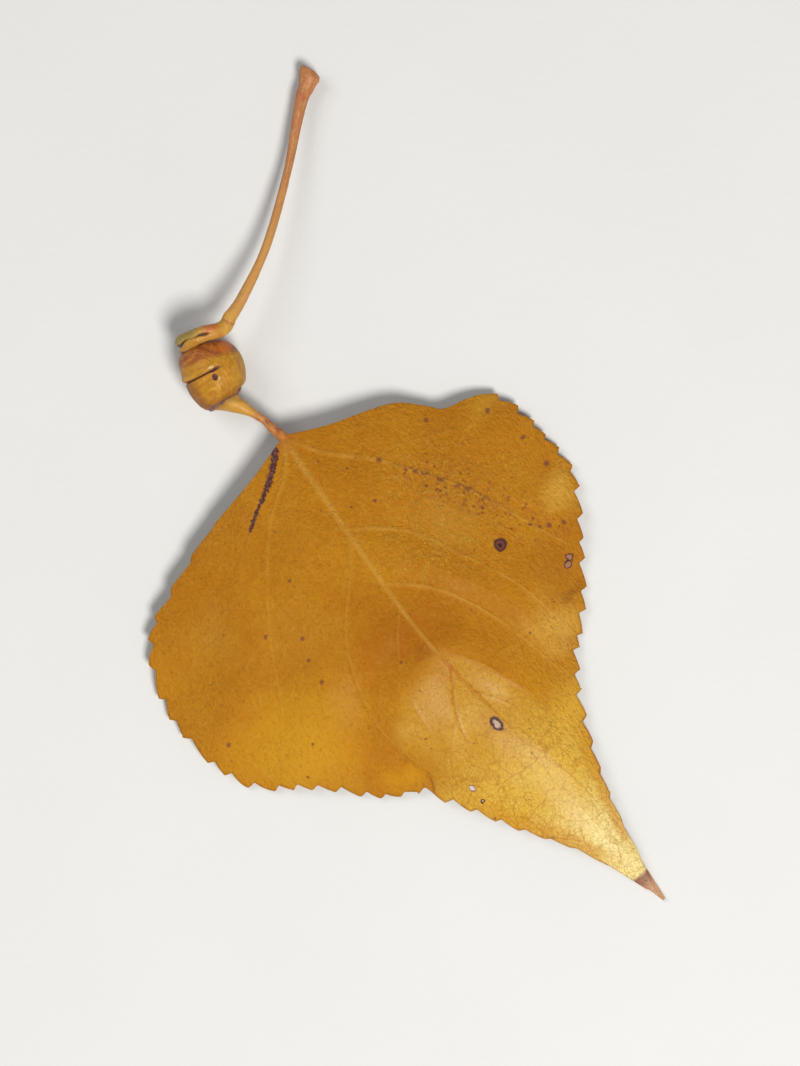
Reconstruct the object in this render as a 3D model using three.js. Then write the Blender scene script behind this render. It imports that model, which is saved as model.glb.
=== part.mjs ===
// A fallen poplar leaf in autumn, lying face up on level ground: a toothed, pointed blade with raised ribs
// under it, and a long stalk that a spiral gall has swollen and twisted just above the blade.
// Millimetres, +Z up, ground at Z = 0, origin on the ground under the middle of the whole leaf.
import * as THREE from 'three';

// ---- driving dimensions ----
const BLADE_LENGTH = 70;
const BLADE_THICKNESS = 0.3;
const BLADE_TURN = THREE.MathUtils.degToRad(-50.5);
const BLADE_BASE = new THREE.Vector2(-14.6, 5.5);
const STATIONS = 132;
const LANES = 10;
// How evenly the roots of the lanes follow the midrib: a steady share of the way, then the rest at a power.
const STEADY_ROOTS = 0.48;
const ROOT_POWER = 2.5;
const GAP = 0.3;

const TOOTH_HEIGHT = 0.55;
const TOOTH_CREST = 0.78;
const TOOTHLESS_BASE = 14;
const FULL_TEETH_FROM = 25;
const TOOTH_MIDDLE = 0.45;
const TIP_TOOTH_LOSS = 0.85;
const TIP_LOSS_FROM = 0.62;
const TIP_LOSS_TO = 0.9;

const RIB_GAP = 0.2;
const RIB_STEPS = 10;
const RIB_SIDES = 6;

const GALL_RADIUS = 3.72;
const GALL_CENTRE = new THREE.Vector3(-22.7, 13.05, GALL_RADIUS);
const GALL_TURN = THREE.MathUtils.degToRad(29);
const GALL_SIDES = 28;
const SEAM_HEIGHT = 0.3;

const TOP_COIL_RADIUS = 2.5;
const TOP_COIL_THICKNESS = 0.82;
const TOP_COIL_TILT = THREE.MathUtils.degToRad(-14);
const TOP_COIL_START = THREE.MathUtils.degToRad(50);
const TOP_COIL_SWEEP = THREE.MathUtils.degToRad(295);

const STALK_RADIUS = 0.58;
const STALK_FOOT_RADIUS = 1.25;
const NECK_RADIUS = 0.52;

// ---- finishes ----
const finish = (colour, roughness) =>
  new THREE.MeshStandardMaterial({ color: colour, roughness, metalness: 0 });
const GOLDEN_BLADE = finish(0xc08420, 0.5);
const PALE_RIB = finish(0xcfa860, 0.6);
const TAN_STALK = finish(0xa8682c, 0.6);
const RUSSET_GALL = finish(0x9c5a1c, 0.55);
const OCHRE_GALL = finish(0xb8802a, 0.55);

const leaf = new THREE.Group();

function addPiece(parent, name, geometry, material) {
  const mesh = new THREE.Mesh(geometry, material);
  mesh.name = name;
  parent.add(mesh);
  return mesh;
}

// A smooth value along the blade, from a few heights or widths given as [distance, value].
function profile(pairs) {
  const curve = new THREE.SplineCurve(pairs.map(([x, y]) => new THREE.Vector2(x, y)));
  const samples = curve.getPoints(400);
  return (x) => {
    const next = samples.findIndex((sample) => sample.x >= x);
    if (next <= 0) {
      return next === 0 ? samples[0].y : samples[samples.length - 1].y;
    }
    const before = samples[next - 1];
    const after = samples[next];
    return THREE.MathUtils.mapLinear(x, before.x, after.x, before.y, after.y);
  };
}

// ---- blade ----
// The two margins run from the stalk to the tip: distance along the blade, then distance from its axis.
const LEFT_MARGIN = [
  [0.2, 0.7], [2.3, 5.0], [4.9, 12.0], [7.6, 15.0], [9.3, 16.5], [10.1, 19.2], [11.1, 21.4], [13.4, 22.8],
  [18.5, 23.6], [24.6, 23.5], [29.8, 20.3], [36.9, 15.0], [42.5, 9.3], [49.6, 5.4], [57.0, 2.7], [64.8, 0.95],
  [BLADE_LENGTH, 0.12],
];
const RIGHT_MARGIN = [
  [0.2, -0.7], [1.6, -6.1], [3.1, -13.8], [5.7, -21.6], [8.0, -26.5], [12.9, -29.8], [19.0, -31.0],
  [25.5, -30.2], [29.6, -28.3], [34.0, -23.0], [39.9, -17.5], [42.0, -13.9], [45.2, -11.9], [52.3, -8.1],
  [59.1, -4.1], [66.0, -1.4], [BLADE_LENGTH, -0.12],
];
const MIDRIB_SWAY = [[0, 0], [12.5, -1.15], [24, -2.05], [31, -2.05], [43.3, -1.2], [56, -0.65], [BLADE_LENGTH, 0]];

const marginCurve = (points) => new THREE.SplineCurve(points.map(([u, v]) => new THREE.Vector2(u, v)));
const SIDES = {
  left: {
    sign: 1,
    margin: marginCurve(LEFT_MARGIN),
    reach: profile([[0, 1.6], [2, 8], [5, 14.5], [10, 20.8], [15, 23.9], [22, 24.4], [30, 20.6], [37, 15],
      [43, 9.9], [50, 6], [57, 3.2], [64, 1.6], [BLADE_LENGTH, 0.4]]),
    teeth: 34,
    rimHeight: profile([[0, 3.4], [5, 2.2], [10, 1.2], [15, 0.6], [22, 0.3], [30, 1.0], [37, 0.4], [46, 0.6],
      [55, 0.9], [64, 0.5], [BLADE_LENGTH, 0.1]]),
  },
  right: {
    sign: -1,
    margin: marginCurve(RIGHT_MARGIN),
    reach: profile([[0, -1.6], [2, -13], [5, -23.5], [9, -29.5], [14, -31.8], [20, -32.3], [27, -31.2], [34, -24],
      [40, -18], [46, -12.8], [53, -8.6], [60, -4.6], [66, -2], [BLADE_LENGTH, -0.4]]),
    teeth: 38,
    rimHeight: profile([[0, 3.4], [5, 1.8], [10, 0.7], [15, 0.35], [21, 0.8], [28, 0.3], [35, 0.7], [41, 0.3],
      [46, 1.1], [55, 1.0], [64, 0.5], [BLADE_LENGTH, 0.1]]),
  },
};
const midribSway = profile(MIDRIB_SWAY);
const crownHeight = profile([[0, 4.2], [8, 5.2], [18, 5.9], [30, 6.0], [42, 4.9], [54, 3.0], [63, 1.4],
  [BLADE_LENGTH, 0.16]]);

const sideAt = (u, v) => (v >= midribSway(u) ? SIDES.left : SIDES.right);

// Height of the middle of the sheet: arched over the midrib, with its two margins waved near the ground.
function sheetHeight(u, v) {
  const side = sideAt(u, v);
  const sway = midribSway(u);
  const halfWidth = Math.max(Math.abs(side.reach(u) - sway), 0.1);
  const outward = Math.min(Math.abs(v - sway) / halfWidth, 1);
  const rim = side.rimHeight(u);
  return rim + (crownHeight(u) - rim) * (1 - outward ** 2);
}

// Low forward-pointing teeth: each swells slowly towards the tip of the blade and drops back steeply.
function toothHeight(side, along, length) {
  const phase = (along * side.teeth) % 1;
  const swell = phase < TOOTH_CREST
    ? Math.sin((Math.PI / 2) * (phase / TOOTH_CREST)) ** 0.8
    : Math.cos((Math.PI / 2) * ((phase - TOOTH_CREST) / (1 - TOOTH_CREST)));
  const start = THREE.MathUtils.smoothstep(along * length, TOOTHLESS_BASE, FULL_TEETH_FROM);
  const fade = 1 - TIP_TOOTH_LOSS * THREE.MathUtils.smoothstep(along, TIP_LOSS_FROM, TIP_LOSS_TO);
  return TOOTH_HEIGHT * start * fade * (swell - TOOTH_MIDDLE);
}

// A point of the margin, with its tooth.
function marginPoint(side, along) {
  const point = side.margin.getPointAt(along);
  const heading = side.margin.getTangentAt(along);
  const outward = new THREE.Vector2(-heading.y, heading.x).multiplyScalar(side.sign);
  return point.addScaledVector(outward, toothHeight(side, along, side.margin.getLength()));
}

// Lanes fan out of the foot of the midrib and then run forward from it to the margin, as the side veins do.
// Their roots keep far enough along the midrib that no lane crosses the next one or the margin.
function bladePoint(along, across) {
  const side = across >= 0 ? SIDES.left : SIDES.right;
  const root = BLADE_LENGTH * (STEADY_ROOTS * along + (1 - STEADY_ROOTS) * along ** ROOT_POWER);
  const rootPoint = new THREE.Vector2(root, midribSway(root));
  return rootPoint.lerp(marginPoint(side, along), Math.abs(across));
}

function bladeGeometry() {
  const geometry = new THREE.BoxGeometry(1, 2, BLADE_THICKNESS, STATIONS, LANES, 1);
  const position = geometry.attributes.position;
  for (let i = 0; i < position.count; i += 1) {
    const point = bladePoint(position.getX(i) + 0.5, position.getY(i));
    position.setXYZ(i, point.x, point.y, sheetHeight(point.x, point.y) + position.getZ(i));
  }
  return geometry;
}

const bladeGroup = new THREE.Group();
bladeGroup.position.set(BLADE_BASE.x, BLADE_BASE.y, 0);
bladeGroup.rotation.z = BLADE_TURN;
leaf.add(bladeGroup);
addPiece(bladeGroup, 'blade', bladeGeometry(), GOLDEN_BLADE);

// ---- round limbs ----
// A closed round limb along a curve, with its radius given as a function of the distance from 0 to 1.
function limbGeometry(curve, radiusAt, sides, steps) {
  const geometry = new THREE.CylinderGeometry(1, 1, 1, sides, steps);
  const frames = curve.computeFrenetFrames(steps, false);
  const position = geometry.attributes.position;
  for (let i = 0; i < position.count; i += 1) {
    const step = Math.round((0.5 - position.getY(i)) * steps);
    const radius = radiusAt(step / steps);
    const point = curve.getPointAt(step / steps);
    point.addScaledVector(frames.normals[step], position.getX(i) * radius);
    point.addScaledVector(frames.binormals[step], position.getZ(i) * radius);
    position.setXYZ(i, point.x, point.y, point.z);
  }
  return geometry;
}

const spaceCurve = (points) => new THREE.CatmullRomCurve3(points.map((point) => new THREE.Vector3(...point)));

// ---- ribs under the blade ----
// Each rib hangs just under the sheet: where it leaves its parent, where it passes, where it ends, thickness.
const SIDE_RIBS = [
  ['rib_left_basal', [1.6, 1.2], [12.6, 9.2], [28.5, 16.4], 0.42],
  ['rib_left_1', [14.0, -0.2], [22.7, 6.8], [37.5, 11.6], 0.34],
  ['rib_left_2', [22.2, -0.9], [28.8, 4.4], [40.5, 7.4], 0.3],
  ['rib_left_3', [32.0, -1.1], [38.0, 2.2], [49.5, 3.9], 0.26],
  ['rib_right_basal', [1.7, -1.5], [9.6, -10.0], [23.5, -20.0], 0.42],
  ['rib_right_1', [15.4, -2.4], [25.5, -10.6], [40.0, -11.4], 0.34],
  ['rib_right_2', [34.4, -2.9], [42.0, -6.2], [50.0, -7.6], 0.28],
  ['rib_right_3', [44.4, -1.9], [50.4, -4.2], [57.0, -4.1], 0.24],
];
const MIDRIB_THICKNESS = 0.55;

function ribGeometry(planPoints, thickness, steps) {
  const plan = new THREE.SplineCurve(planPoints.map(([u, v]) => new THREE.Vector2(u, v)));
  const radiusAt = (t) => thickness * (1 - 0.75 * t);
  const points = [];
  for (let i = 0; i <= steps; i += 1) {
    const { x, y } = plan.getPointAt(i / steps);
    const drop = BLADE_THICKNESS / 2 + RIB_GAP + radiusAt(i / steps);
    points.push([x, y, sheetHeight(x, y) - drop]);
  }
  return limbGeometry(spaceCurve(points), radiusAt, RIB_SIDES, steps);
}

const MIDRIB_START = 0.4;
const MIDRIB_END = 62;
const midribPlan = MIDRIB_SWAY
  .map(([u]) => THREE.MathUtils.mapLinear(u, 0, BLADE_LENGTH, MIDRIB_START, MIDRIB_END))
  .map((u) => [u, midribSway(u)]);
addPiece(bladeGroup, 'midrib', ribGeometry(midribPlan, MIDRIB_THICKNESS, 2 * RIB_STEPS), PALE_RIB);
SIDE_RIBS.forEach(([name, start, middle, end, thickness]) => {
  addPiece(bladeGroup, name, ribGeometry([start, middle, end], thickness, RIB_STEPS), PALE_RIB);
});

// ---- gall ----
// In the gall's own frame +Y runs along its axis towards the stalk and +Z is up.
const gall = new THREE.Group();
gall.position.copy(GALL_CENTRE);
gall.rotation.z = GALL_TURN;
leaf.add(gall);

const turned = (pairs) => new THREE.LatheGeometry(pairs.map(([r, y]) => new THREE.Vector2(r, y)), GALL_SIDES);

// The upper chamber wraps over the lower one, and the slit between them is the mouth of the gall.
addPiece(gall, 'gall_middle_coil', turned([
  [0, SEAM_HEIGHT + GAP], [3.45, SEAM_HEIGHT + GAP], [3.66, SEAM_HEIGHT + 0.55], [3.64, 1.2], [3.42, 2.0],
  [3.05, 2.6], [2.4, 3.0], [0, 3.1],
]), RUSSET_GALL);

addPiece(gall, 'gall_lower_coil', turned([
  [0, -3.25], [2.1, -3.25], [2.7, -2.95], [3.15, -2.5], [3.5, -1.75], [3.68, -0.9], [GALL_RADIUS, -0.1],
  [3.6, SEAM_HEIGHT], [0, SEAM_HEIGHT],
]), OCHRE_GALL);

function topCoilGeometry() {
  const points = [];
  const turns = 20;
  for (let i = 0; i <= turns; i += 1) {
    const angle = TOP_COIL_START + TOP_COIL_SWEEP * (i / turns);
    points.push([TOP_COIL_RADIUS * Math.cos(angle), 0, TOP_COIL_RADIUS * Math.sin(angle)]);
  }
  return limbGeometry(spaceCurve(points), (t) => TOP_COIL_THICKNESS * (1 - 0.2 * t), 10, turns);
}
const topCoil = addPiece(gall, 'gall_top_coil', topCoilGeometry(), RUSSET_GALL);
topCoil.position.set(1.1, 4.75, 0);
topCoil.rotation.z = TOP_COIL_TILT;

// The gall narrows to one side into the short neck that carries the blade.
const conePath = spaceCurve([[-0.4, -3.3 - GAP, 0], [-0.4, -4.05, 0], [-0.05, -4.6, 0], [0.55, -5.15, 0.05],
  [1.3, -5.8, 0.08]]);
const coneRadius = profile([[0, 2.1], [0.35, 1.5], [0.7, 0.9], [1, NECK_RADIUS + 0.05]]);
addPiece(gall, 'gall_cone', limbGeometry(conePath, coneRadius, 18, 8), OCHRE_GALL);

// ---- stalk ----
const neckPath = spaceCurve([[-18.35, 8.4, 3.8], [-17.0, 7.6, 3.9], [-15.9, 6.55, 4.05], [-14.95, 5.85, 4.2]]);
addPiece(leaf, 'stalk_neck', limbGeometry(neckPath, (t) => NECK_RADIUS + 0.12 * t ** 3, 10, 8), TAN_STALK);

const stalkPath = spaceCurve([
  [-12.2, 45.1, 1.7], [-12.6, 42.5, 1.9], [-14.0, 36.0, 2.5], [-16.5, 27.7, 3.6], [-19.2, 21.7, 4.7],
  [-20.7, 18.9, 5.2], [-21.75, 17.75, 5.4],
]);
const stalkRadius = profile([[0, 0.82], [0.12, 0.68], [0.35, STALK_RADIUS], [0.85, 0.56], [1, 0.72]]);
addPiece(leaf, 'stalk_upper', limbGeometry(stalkPath, stalkRadius, 10, 26), TAN_STALK);

const footPath = spaceCurve([[-11.55, 48.0, 1.35], [-11.8, 46.9, 1.5], [-12.15, 45.45, 1.68]]);
const footRadius = profile([[0, 0.85], [0.15, STALK_FOOT_RADIUS], [0.5, 1.1], [1, 0.84]]);
addPiece(leaf, 'stalk_foot', limbGeometry(footPath, footRadius, 14, 6), TAN_STALK);

// ---- frame: on the ground, centred on the whole leaf ----
leaf.updateMatrixWorld(true);
const extent = new THREE.Box3().setFromObject(leaf, true);
const middle = extent.getCenter(new THREE.Vector3());
leaf.position.set(-middle.x, -middle.y, -extent.min.z);

export default leaf;
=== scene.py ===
import math

import bpy
import numpy as np
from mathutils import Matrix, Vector


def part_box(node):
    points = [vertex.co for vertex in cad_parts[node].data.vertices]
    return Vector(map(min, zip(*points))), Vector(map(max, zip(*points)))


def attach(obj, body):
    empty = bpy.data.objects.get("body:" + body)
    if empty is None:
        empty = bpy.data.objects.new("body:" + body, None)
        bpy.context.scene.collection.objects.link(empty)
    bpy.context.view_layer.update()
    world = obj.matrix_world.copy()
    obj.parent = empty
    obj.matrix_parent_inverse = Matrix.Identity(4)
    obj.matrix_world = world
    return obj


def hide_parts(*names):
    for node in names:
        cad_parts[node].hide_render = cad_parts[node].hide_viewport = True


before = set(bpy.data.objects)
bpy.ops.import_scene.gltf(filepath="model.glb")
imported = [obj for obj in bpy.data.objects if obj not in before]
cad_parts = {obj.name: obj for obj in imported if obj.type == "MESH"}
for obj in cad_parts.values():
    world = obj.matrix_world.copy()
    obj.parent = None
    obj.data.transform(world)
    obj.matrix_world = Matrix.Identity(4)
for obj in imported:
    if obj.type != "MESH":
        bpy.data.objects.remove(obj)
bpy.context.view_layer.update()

# ---- Shape of the blade ----
# The blade is one thin waxy sheet, drawn out to a point and edged with low teeth that lean towards its tip.
# It has dried as it fell, so it arches over its midrib, and its margins wave a little above the ground.
MM = 0.001
BLADE_LENGTH = 70.0
BLADE_THICKNESS = 0.3
BLADE_TURN = math.radians(-50.5)


def smooth_line(points, samples=1200):
    """A smooth line through a few points, as many close points."""
    knots = np.array(points, float)
    spans = len(knots) - 1
    place = np.linspace(0, spans, samples)
    span = np.minimum(place.astype(int), spans - 1)
    part = (place - span)[:, None]
    start, end = knots[span], knots[span + 1]
    leave = (end - knots[np.maximum(span - 1, 0)]) / 2
    arrive = (knots[np.minimum(span + 2, spans)] - start) / 2
    cubic = 2 * start - 2 * end + leave + arrive
    square = 3 * end - 3 * start - 2 * leave - arrive
    return cubic * part**3 + square * part**2 + leave * part + start


def line_lengths(line):
    """How far along a line each of its points is."""
    return np.concatenate([[0.0], np.cumsum(np.linalg.norm(np.diff(line, axis=0), axis=1))])


def on_line(line, share):
    """The points that lie the given shares of the way along a line."""
    lengths = line_lengths(line)
    wanted = np.clip(share, 0, 1) * lengths[-1]
    return np.stack([np.interp(wanted, lengths, line[:, k]) for k in range(line.shape[1])], -1)


def headings(line):
    """Unit directions along a line."""
    along = np.gradient(line, axis=0)
    return along / np.linalg.norm(along, axis=1, keepdims=True)


def profile(*pairs):
    """A smooth value along a length, from a few values at given distances."""
    line = smooth_line(pairs)
    return lambda distance: np.interp(distance, line[:, 0], line[:, 1])


def bell(value, width):
    return np.exp(-((value / width) ** 2))


def ramp(value, low, high):
    """Smooth step from 0 at low to 1 at high."""
    share = np.clip((value - low) / (high - low), 0, 1)
    return share * share * (3 - 2 * share)


class Side:
    """One half of the blade: its margin, its teeth, and how its rim lies above the ground."""

    def __init__(self, sign, margin, reach, rim, teeth, growth):
        self.sign = sign
        self.growth = growth
        self.margin = smooth_line(margin)
        self.length = line_lengths(self.margin)[-1]
        self.reach = profile(*reach)
        self.rim = profile(*rim)
        self.teeth = np.array(teeth)


LEFT = Side(
    sign=1,
    margin=[(0.2, 0.7), (2.3, 5.0), (4.9, 12.0), (7.6, 15.0), (9.3, 16.5), (10.1, 19.2), (11.1, 21.4),
            (13.4, 22.8), (18.5, 23.6), (24.6, 23.5), (29.8, 20.3), (36.9, 15.0), (42.5, 9.3), (49.6, 5.4),
            (57.0, 2.7), (64.8, 0.95), (BLADE_LENGTH, 0.12)],
    reach=[(0, 1.6), (2, 8), (5, 14.5), (10, 20.8), (15, 23.9), (22, 24.4), (30, 20.6), (37, 15), (43, 9.9),
           (50, 6), (57, 3.2), (64, 1.6), (BLADE_LENGTH, 0.4)],
    rim=[(0, 3.4), (5, 2.2), (10, 1.2), (15, 0.6), (22, 0.3), (30, 1.0), (37, 0.4), (46, 0.6), (55, 0.9),
         (64, 0.55), (BLADE_LENGTH, 0.3)],
    teeth=[22.0, 25.1, 27.9, 30.5, 32.4, 34.6, 37.3, 39.5, 42.9, 45.7, 47.9, 51.4, 53.9, 56.9, 58.3, 61.2,
           63.4, 66.6, 69.8, 73.0, 76.0, 79.5, 83.7, 90.0],
    growth=5.0,
)
RIGHT = Side(
    sign=-1,
    margin=[(0.2, -0.7), (1.6, -6.1), (3.1, -13.8), (5.7, -21.6), (8.0, -26.5), (12.9, -29.8), (19.0, -31.0),
            (25.5, -30.2), (29.6, -28.3), (34.0, -23.0), (39.9, -17.5), (42.0, -13.9), (45.2, -11.9),
            (52.3, -8.1), (59.1, -4.1), (66.0, -1.4), (BLADE_LENGTH, -0.12)],
    reach=[(0, -1.6), (2, -13), (5, -23.5), (9, -29.5), (14, -31.8), (20, -32.3), (27, -31.2), (34, -24),
           (40, -18), (46, -12.8), (53, -8.6), (60, -4.6), (66, -2), (BLADE_LENGTH, -0.4)],
    rim=[(0, 3.4), (5, 1.8), (10, 0.7), (15, 0.35), (21, 0.8), (28, 0.3), (35, 0.7), (41, 0.3), (46, 1.1),
         (55, 1.0), (64, 0.55), (BLADE_LENGTH, 0.3)],
    teeth=[7.0, 11.7, 16.5, 21.2, 25.0, 27.6, 30.6, 34.5, 37.4, 39.8, 44.0, 46.3, 49.3, 52.5, 54.6, 56.9,
           59.5, 62.7, 65.0, 67.3, 69.3, 72.9, 75.9, 79.0, 82.0, 85.2, 88.2, 92.1, 98.4, 101.2],
    growth=22.0,
)
midrib_sway = profile((0, 0), (12.5, -1.15), (24, -2.05), (31, -2.05), (43.3, -1.2), (56, -0.65),
                      (BLADE_LENGTH, 0))
crown_height = profile((0, 4.2), (8, 5.2), (18, 5.9), (30, 6.0), (42, 4.9), (54, 3.0), (63, 1.4),
                       (BLADE_LENGTH, 0.34))


def sheet_height(u, v):
    """Height of the middle of the sheet at a distance u along the blade and v to its left."""
    sway = midrib_sway(u)
    on_left = v >= sway
    reach = np.where(on_left, LEFT.reach(u), RIGHT.reach(u))
    rim = np.where(on_left, LEFT.rim(u), RIGHT.rim(u))
    outward = np.minimum(np.abs(v - sway) / np.maximum(np.abs(reach - sway), 0.1), 1)
    return rim + (crown_height(u) - rim) * (1 - outward**2)


TOOTH_SINUS = 0.2
TOOTH_DEPTH = 0.27
WIDEST_TOOTH = 3.0
TIP_TOOTH_LOSS = 0.8
TIP_LOSS_FROM = 0.66
TIP_LOSS_TO = 0.92
tooth_size = np.random.default_rng(3).uniform(0.75, 1.25, 64)


def tooth_height(side, distance):
    """Each tooth drops steeply behind the crest of the last one, then swells slowly to its own crest."""
    crest = np.clip(np.searchsorted(side.teeth, distance), 1, len(side.teeth) - 1)
    spacing = side.teeth[crest] - side.teeth[crest - 1]
    phase = np.clip((distance - side.teeth[crest - 1]) / spacing, 0, 1)
    fall = 1 - np.minimum(phase / TOOTH_SINUS, 1) ** 1.4
    rise = np.clip((phase - TOOTH_SINUS) / (1 - TOOTH_SINUS), 0, 1)
    swell = 0.55 * rise + 0.45 * np.sin(np.pi / 2 * rise)
    size = TOOTH_DEPTH * np.minimum(spacing, WIDEST_TOOTH) * tooth_size[crest]
    grown = ramp(distance, side.teeth[0], side.teeth[0] + side.growth)
    fade = grown * (1 - TIP_TOOTH_LOSS * ramp(distance / side.length, TIP_LOSS_FROM, TIP_LOSS_TO))
    return size * fade * (np.maximum(fall, swell) - 0.5)


HEADING_STEP = 0.002


def margin_points(side, share):
    """Points of the toothed margin, each tooth standing straight out from it."""
    plain = on_line(side.margin, share)
    way = on_line(side.margin, share + HEADING_STEP) - on_line(side.margin, share - HEADING_STEP)
    way /= np.linalg.norm(way, axis=1, keepdims=True)
    outward = np.stack([-way[:, 1], way[:, 0]], -1) * side.sign
    return plain + outward * tooth_height(side, share * side.length)[:, None]


# The lanes' roots keep far enough along the midrib that no lane crosses the next one or the margin.
STEADY_ROOTS = 0.36
ROOT_POWER = 3.7


def blade_plan(stations, lanes):
    """Plan of the blade: lanes fan out of the midrib and run forward to the margins, as side veins do."""
    share = np.linspace(0, 1, stations + 1)
    root = BLADE_LENGTH * (STEADY_ROOTS * share + (1 - STEADY_ROOTS) * share**ROOT_POWER)
    roots = np.stack([root, midrib_sway(root)], -1)[:, None]
    across = np.linspace(0, 1, lanes + 1)[None, :, None]
    right, left = (roots * (1 - across) + margin_points(side, share)[:, None] * across
                   for side in (RIGHT, LEFT))
    return np.concatenate([right[:, ::-1], left[:, 1:]], axis=1)


def leaf_to_ground(u, v, height):
    """Turns blade distances into places on the ground, in millimetres."""
    cos, sin = math.cos(BLADE_TURN), math.sin(BLADE_TURN)
    return np.stack([blade_base[0] + u * cos - v * sin, blade_base[1] + u * sin + v * cos, height], -1)


# The blade is laid on the frame by its own box.
OUTLINE_STATIONS = 900
blade_base = np.zeros(2)
outline = blade_plan(OUTLINE_STATIONS, 2)
drawn = leaf_to_ground(outline[..., 0], outline[..., 1], 0 * outline[..., 0]).reshape(-1, 3)
blade_base = (np.mean(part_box("blade"), axis=0) / MM - (drawn.min(0) + drawn.max(0)) / 2)[:2]

# ---- Veins ----
# A strong midrib and four side veins on each half carry the sheet, and lesser ones branch off them. From
# above they are pale, slightly raised lines, each given by its points and its width at its start and end.
MIDRIB = [[(u, float(midrib_sway(u))) for u in (0.0, 12.5, 24, 31, 43.3, 56, 67)], 0.62, 0.12]
SIDE_VEINS = {
    "rib_left_basal": [[(0.4, 0.1), (4.6, 2.6), (8.9, 6.6), (14.1, 10.1), (18.2, 12.6), (24.0, 15.0),
                        (30.5, 17.6)], 0.44, 0.14],
    "rib_left_1": [[(13.0, -1.1), (15.6, 2.2), (18.6, 4.9), (22.7, 6.9), (28.7, 9.6), (33.1, 10.8),
                    (39.5, 11.8)], 0.34, 0.1],
    "rib_left_2": [[(20.6, -1.8), (24.1, 1.9), (28.6, 4.5), (34.7, 6.5), (42.5, 7.8)], 0.34, 0.1],
    "rib_left_3": [[(30.6, -2.0), (34.9, 1.0), (41.4, 3.2), (47.3, 3.7), (54.0, 3.4)], 0.32, 0.1],
    "rib_right_basal": [[(0.7, -0.4), (3.4, -2.4), (6.8, -7.4), (12.4, -12.5), (18.8, -17.0), (24.1, -20.0),
                         (29.5, -24.6)], 0.42, 0.12],
    "rib_right_1": [[(14.2, -1.3), (17.7, -4.5), (22.5, -9.0), (28.4, -11.8), (34.5, -12.8), (42.0, -11.4)],
                    0.3, 0.12],
    "rib_right_2": [[(33.0, -1.9), (37.4, -4.8), (42.7, -6.4), (50.5, -7.7)], 0.24, 0.08],
    "rib_right_3": [[(43.0, -1.2), (47.9, -3.8), (53.3, -5.0), (59.5, -3.4)], 0.22, 0.06],
}
BRANCH_VEINS = [
    [[(1.0, 0.3), (2.9, 3.1), (4.1, 5.9), (5.4, 8.9), (7.6, 13.0)], 0.26, 0.08],
    [[(8.7, 6.5), (8.9, 8.7), (10.1, 11.5), (12.6, 17.2)], 0.24, 0.08],
    [[(15.8, 11.5), (16.9, 14.6), (19.6, 19.2)], 0.2, 0.06],
    [[(22.0, 14.2), (24.4, 17.4), (27.0, 19.6)], 0.16, 0.05],
    [[(24.0, 7.4), (28.0, 11.8), (33.5, 14.4)], 0.14, 0.05],
    [[(3.6, -2.8), (4.6, -8.0), (6.8, -14.6), (9.0, -20.6)], 0.14, 0.05],
    [[(10.8, -11.2), (11.2, -15.5), (12.3, -21.5), (14.5, -26.5)], 0.18, 0.06],
    [[(16.6, -15.6), (18.0, -20.5), (20.5, -26.5)], 0.16, 0.06],
    [[(22.0, -18.9), (26.0, -20.6), (30.5, -21.0)], 0.16, 0.05],
    [[(24.2, -10.2), (28.6, -15.2), (34.0, -19.0)], 0.14, 0.05],
    [[(23.8, -2.0), (27.0, -4.9), (31.5, -7.6), (37.0, -8.6)], 0.14, 0.05],
    [[(37.6, -4.9), (41.0, -8.6), (45.0, -10.6)], 0.14, 0.05],
    [[(36.8, -1.7), (40.0, 0.4), (44.0, 1.6)], 0.14, 0.04],
    [[(44.0, -1.2), (50.0, 0.6), (58.0, 1.3), (64.0, 0.9)], 0.16, 0.06],
]
VEIN_REACH = 8.0
FINEST_VEIN = 0.05
STEPS_PER_POINT = 40
BATCH = 4000


def vein_field(u, v, veins, reach=VEIN_REACH):
    """Signed distance to the nearest of the veins, and how wide that vein is there."""
    distance = np.full(u.shape, reach)
    width = np.full(u.shape, FINEST_VEIN)
    for points, start_width, end_width in veins:
        line = smooth_line(points, STEPS_PER_POINT * len(points))
        way = headings(line)
        widths = np.linspace(start_width, end_width, len(line))
        low, high = line.min(0) - reach, line.max(0) + reach
        close = np.nonzero((u > low[0]) & (u < high[0]) & (v > low[1]) & (v < high[1]))[0]
        for some in np.array_split(close, len(close) // BATCH + 1):
            gap_u = u[some, None] - line[None, :, 0]
            gap_v = v[some, None] - line[None, :, 1]
            nearest = np.argmin(gap_u**2 + gap_v**2, axis=1)
            row = np.arange(len(some))
            gap_u, gap_v = gap_u[row, nearest], gap_v[row, nearest]
            way_u, way_v = way[nearest].T
            beyond = gap_u * way_u + gap_v * way_v
            past_end = ((nearest == len(line) - 1) & (beyond > 0)) | ((nearest == 0) & (beyond < 0))
            signed = way_u * gap_v - way_v * gap_u
            signed = np.where(past_end, np.copysign(np.hypot(gap_u, gap_v), signed), signed)
            nearer = np.abs(signed) < np.abs(distance[some])
            distance[some[nearer]] = signed[nearer]
            width[some[nearer]] = widths[nearest][nearer]
    return distance, width


# The tip end of the blade is a facet of its own: the sheet rises to this line and then falls away to the tip.
FACET = [(44.0, -13.2), (41.2, -11.9), (37.0, -12.8), (34.3, -12.2), (32.2, -9.6), (30.6, -5.0), (30.2, -1.6),
         (34.9, 1.0), (41.4, 3.2), (47.3, 3.7), (54.0, 3.2), (62.0, 1.4)]

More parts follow.
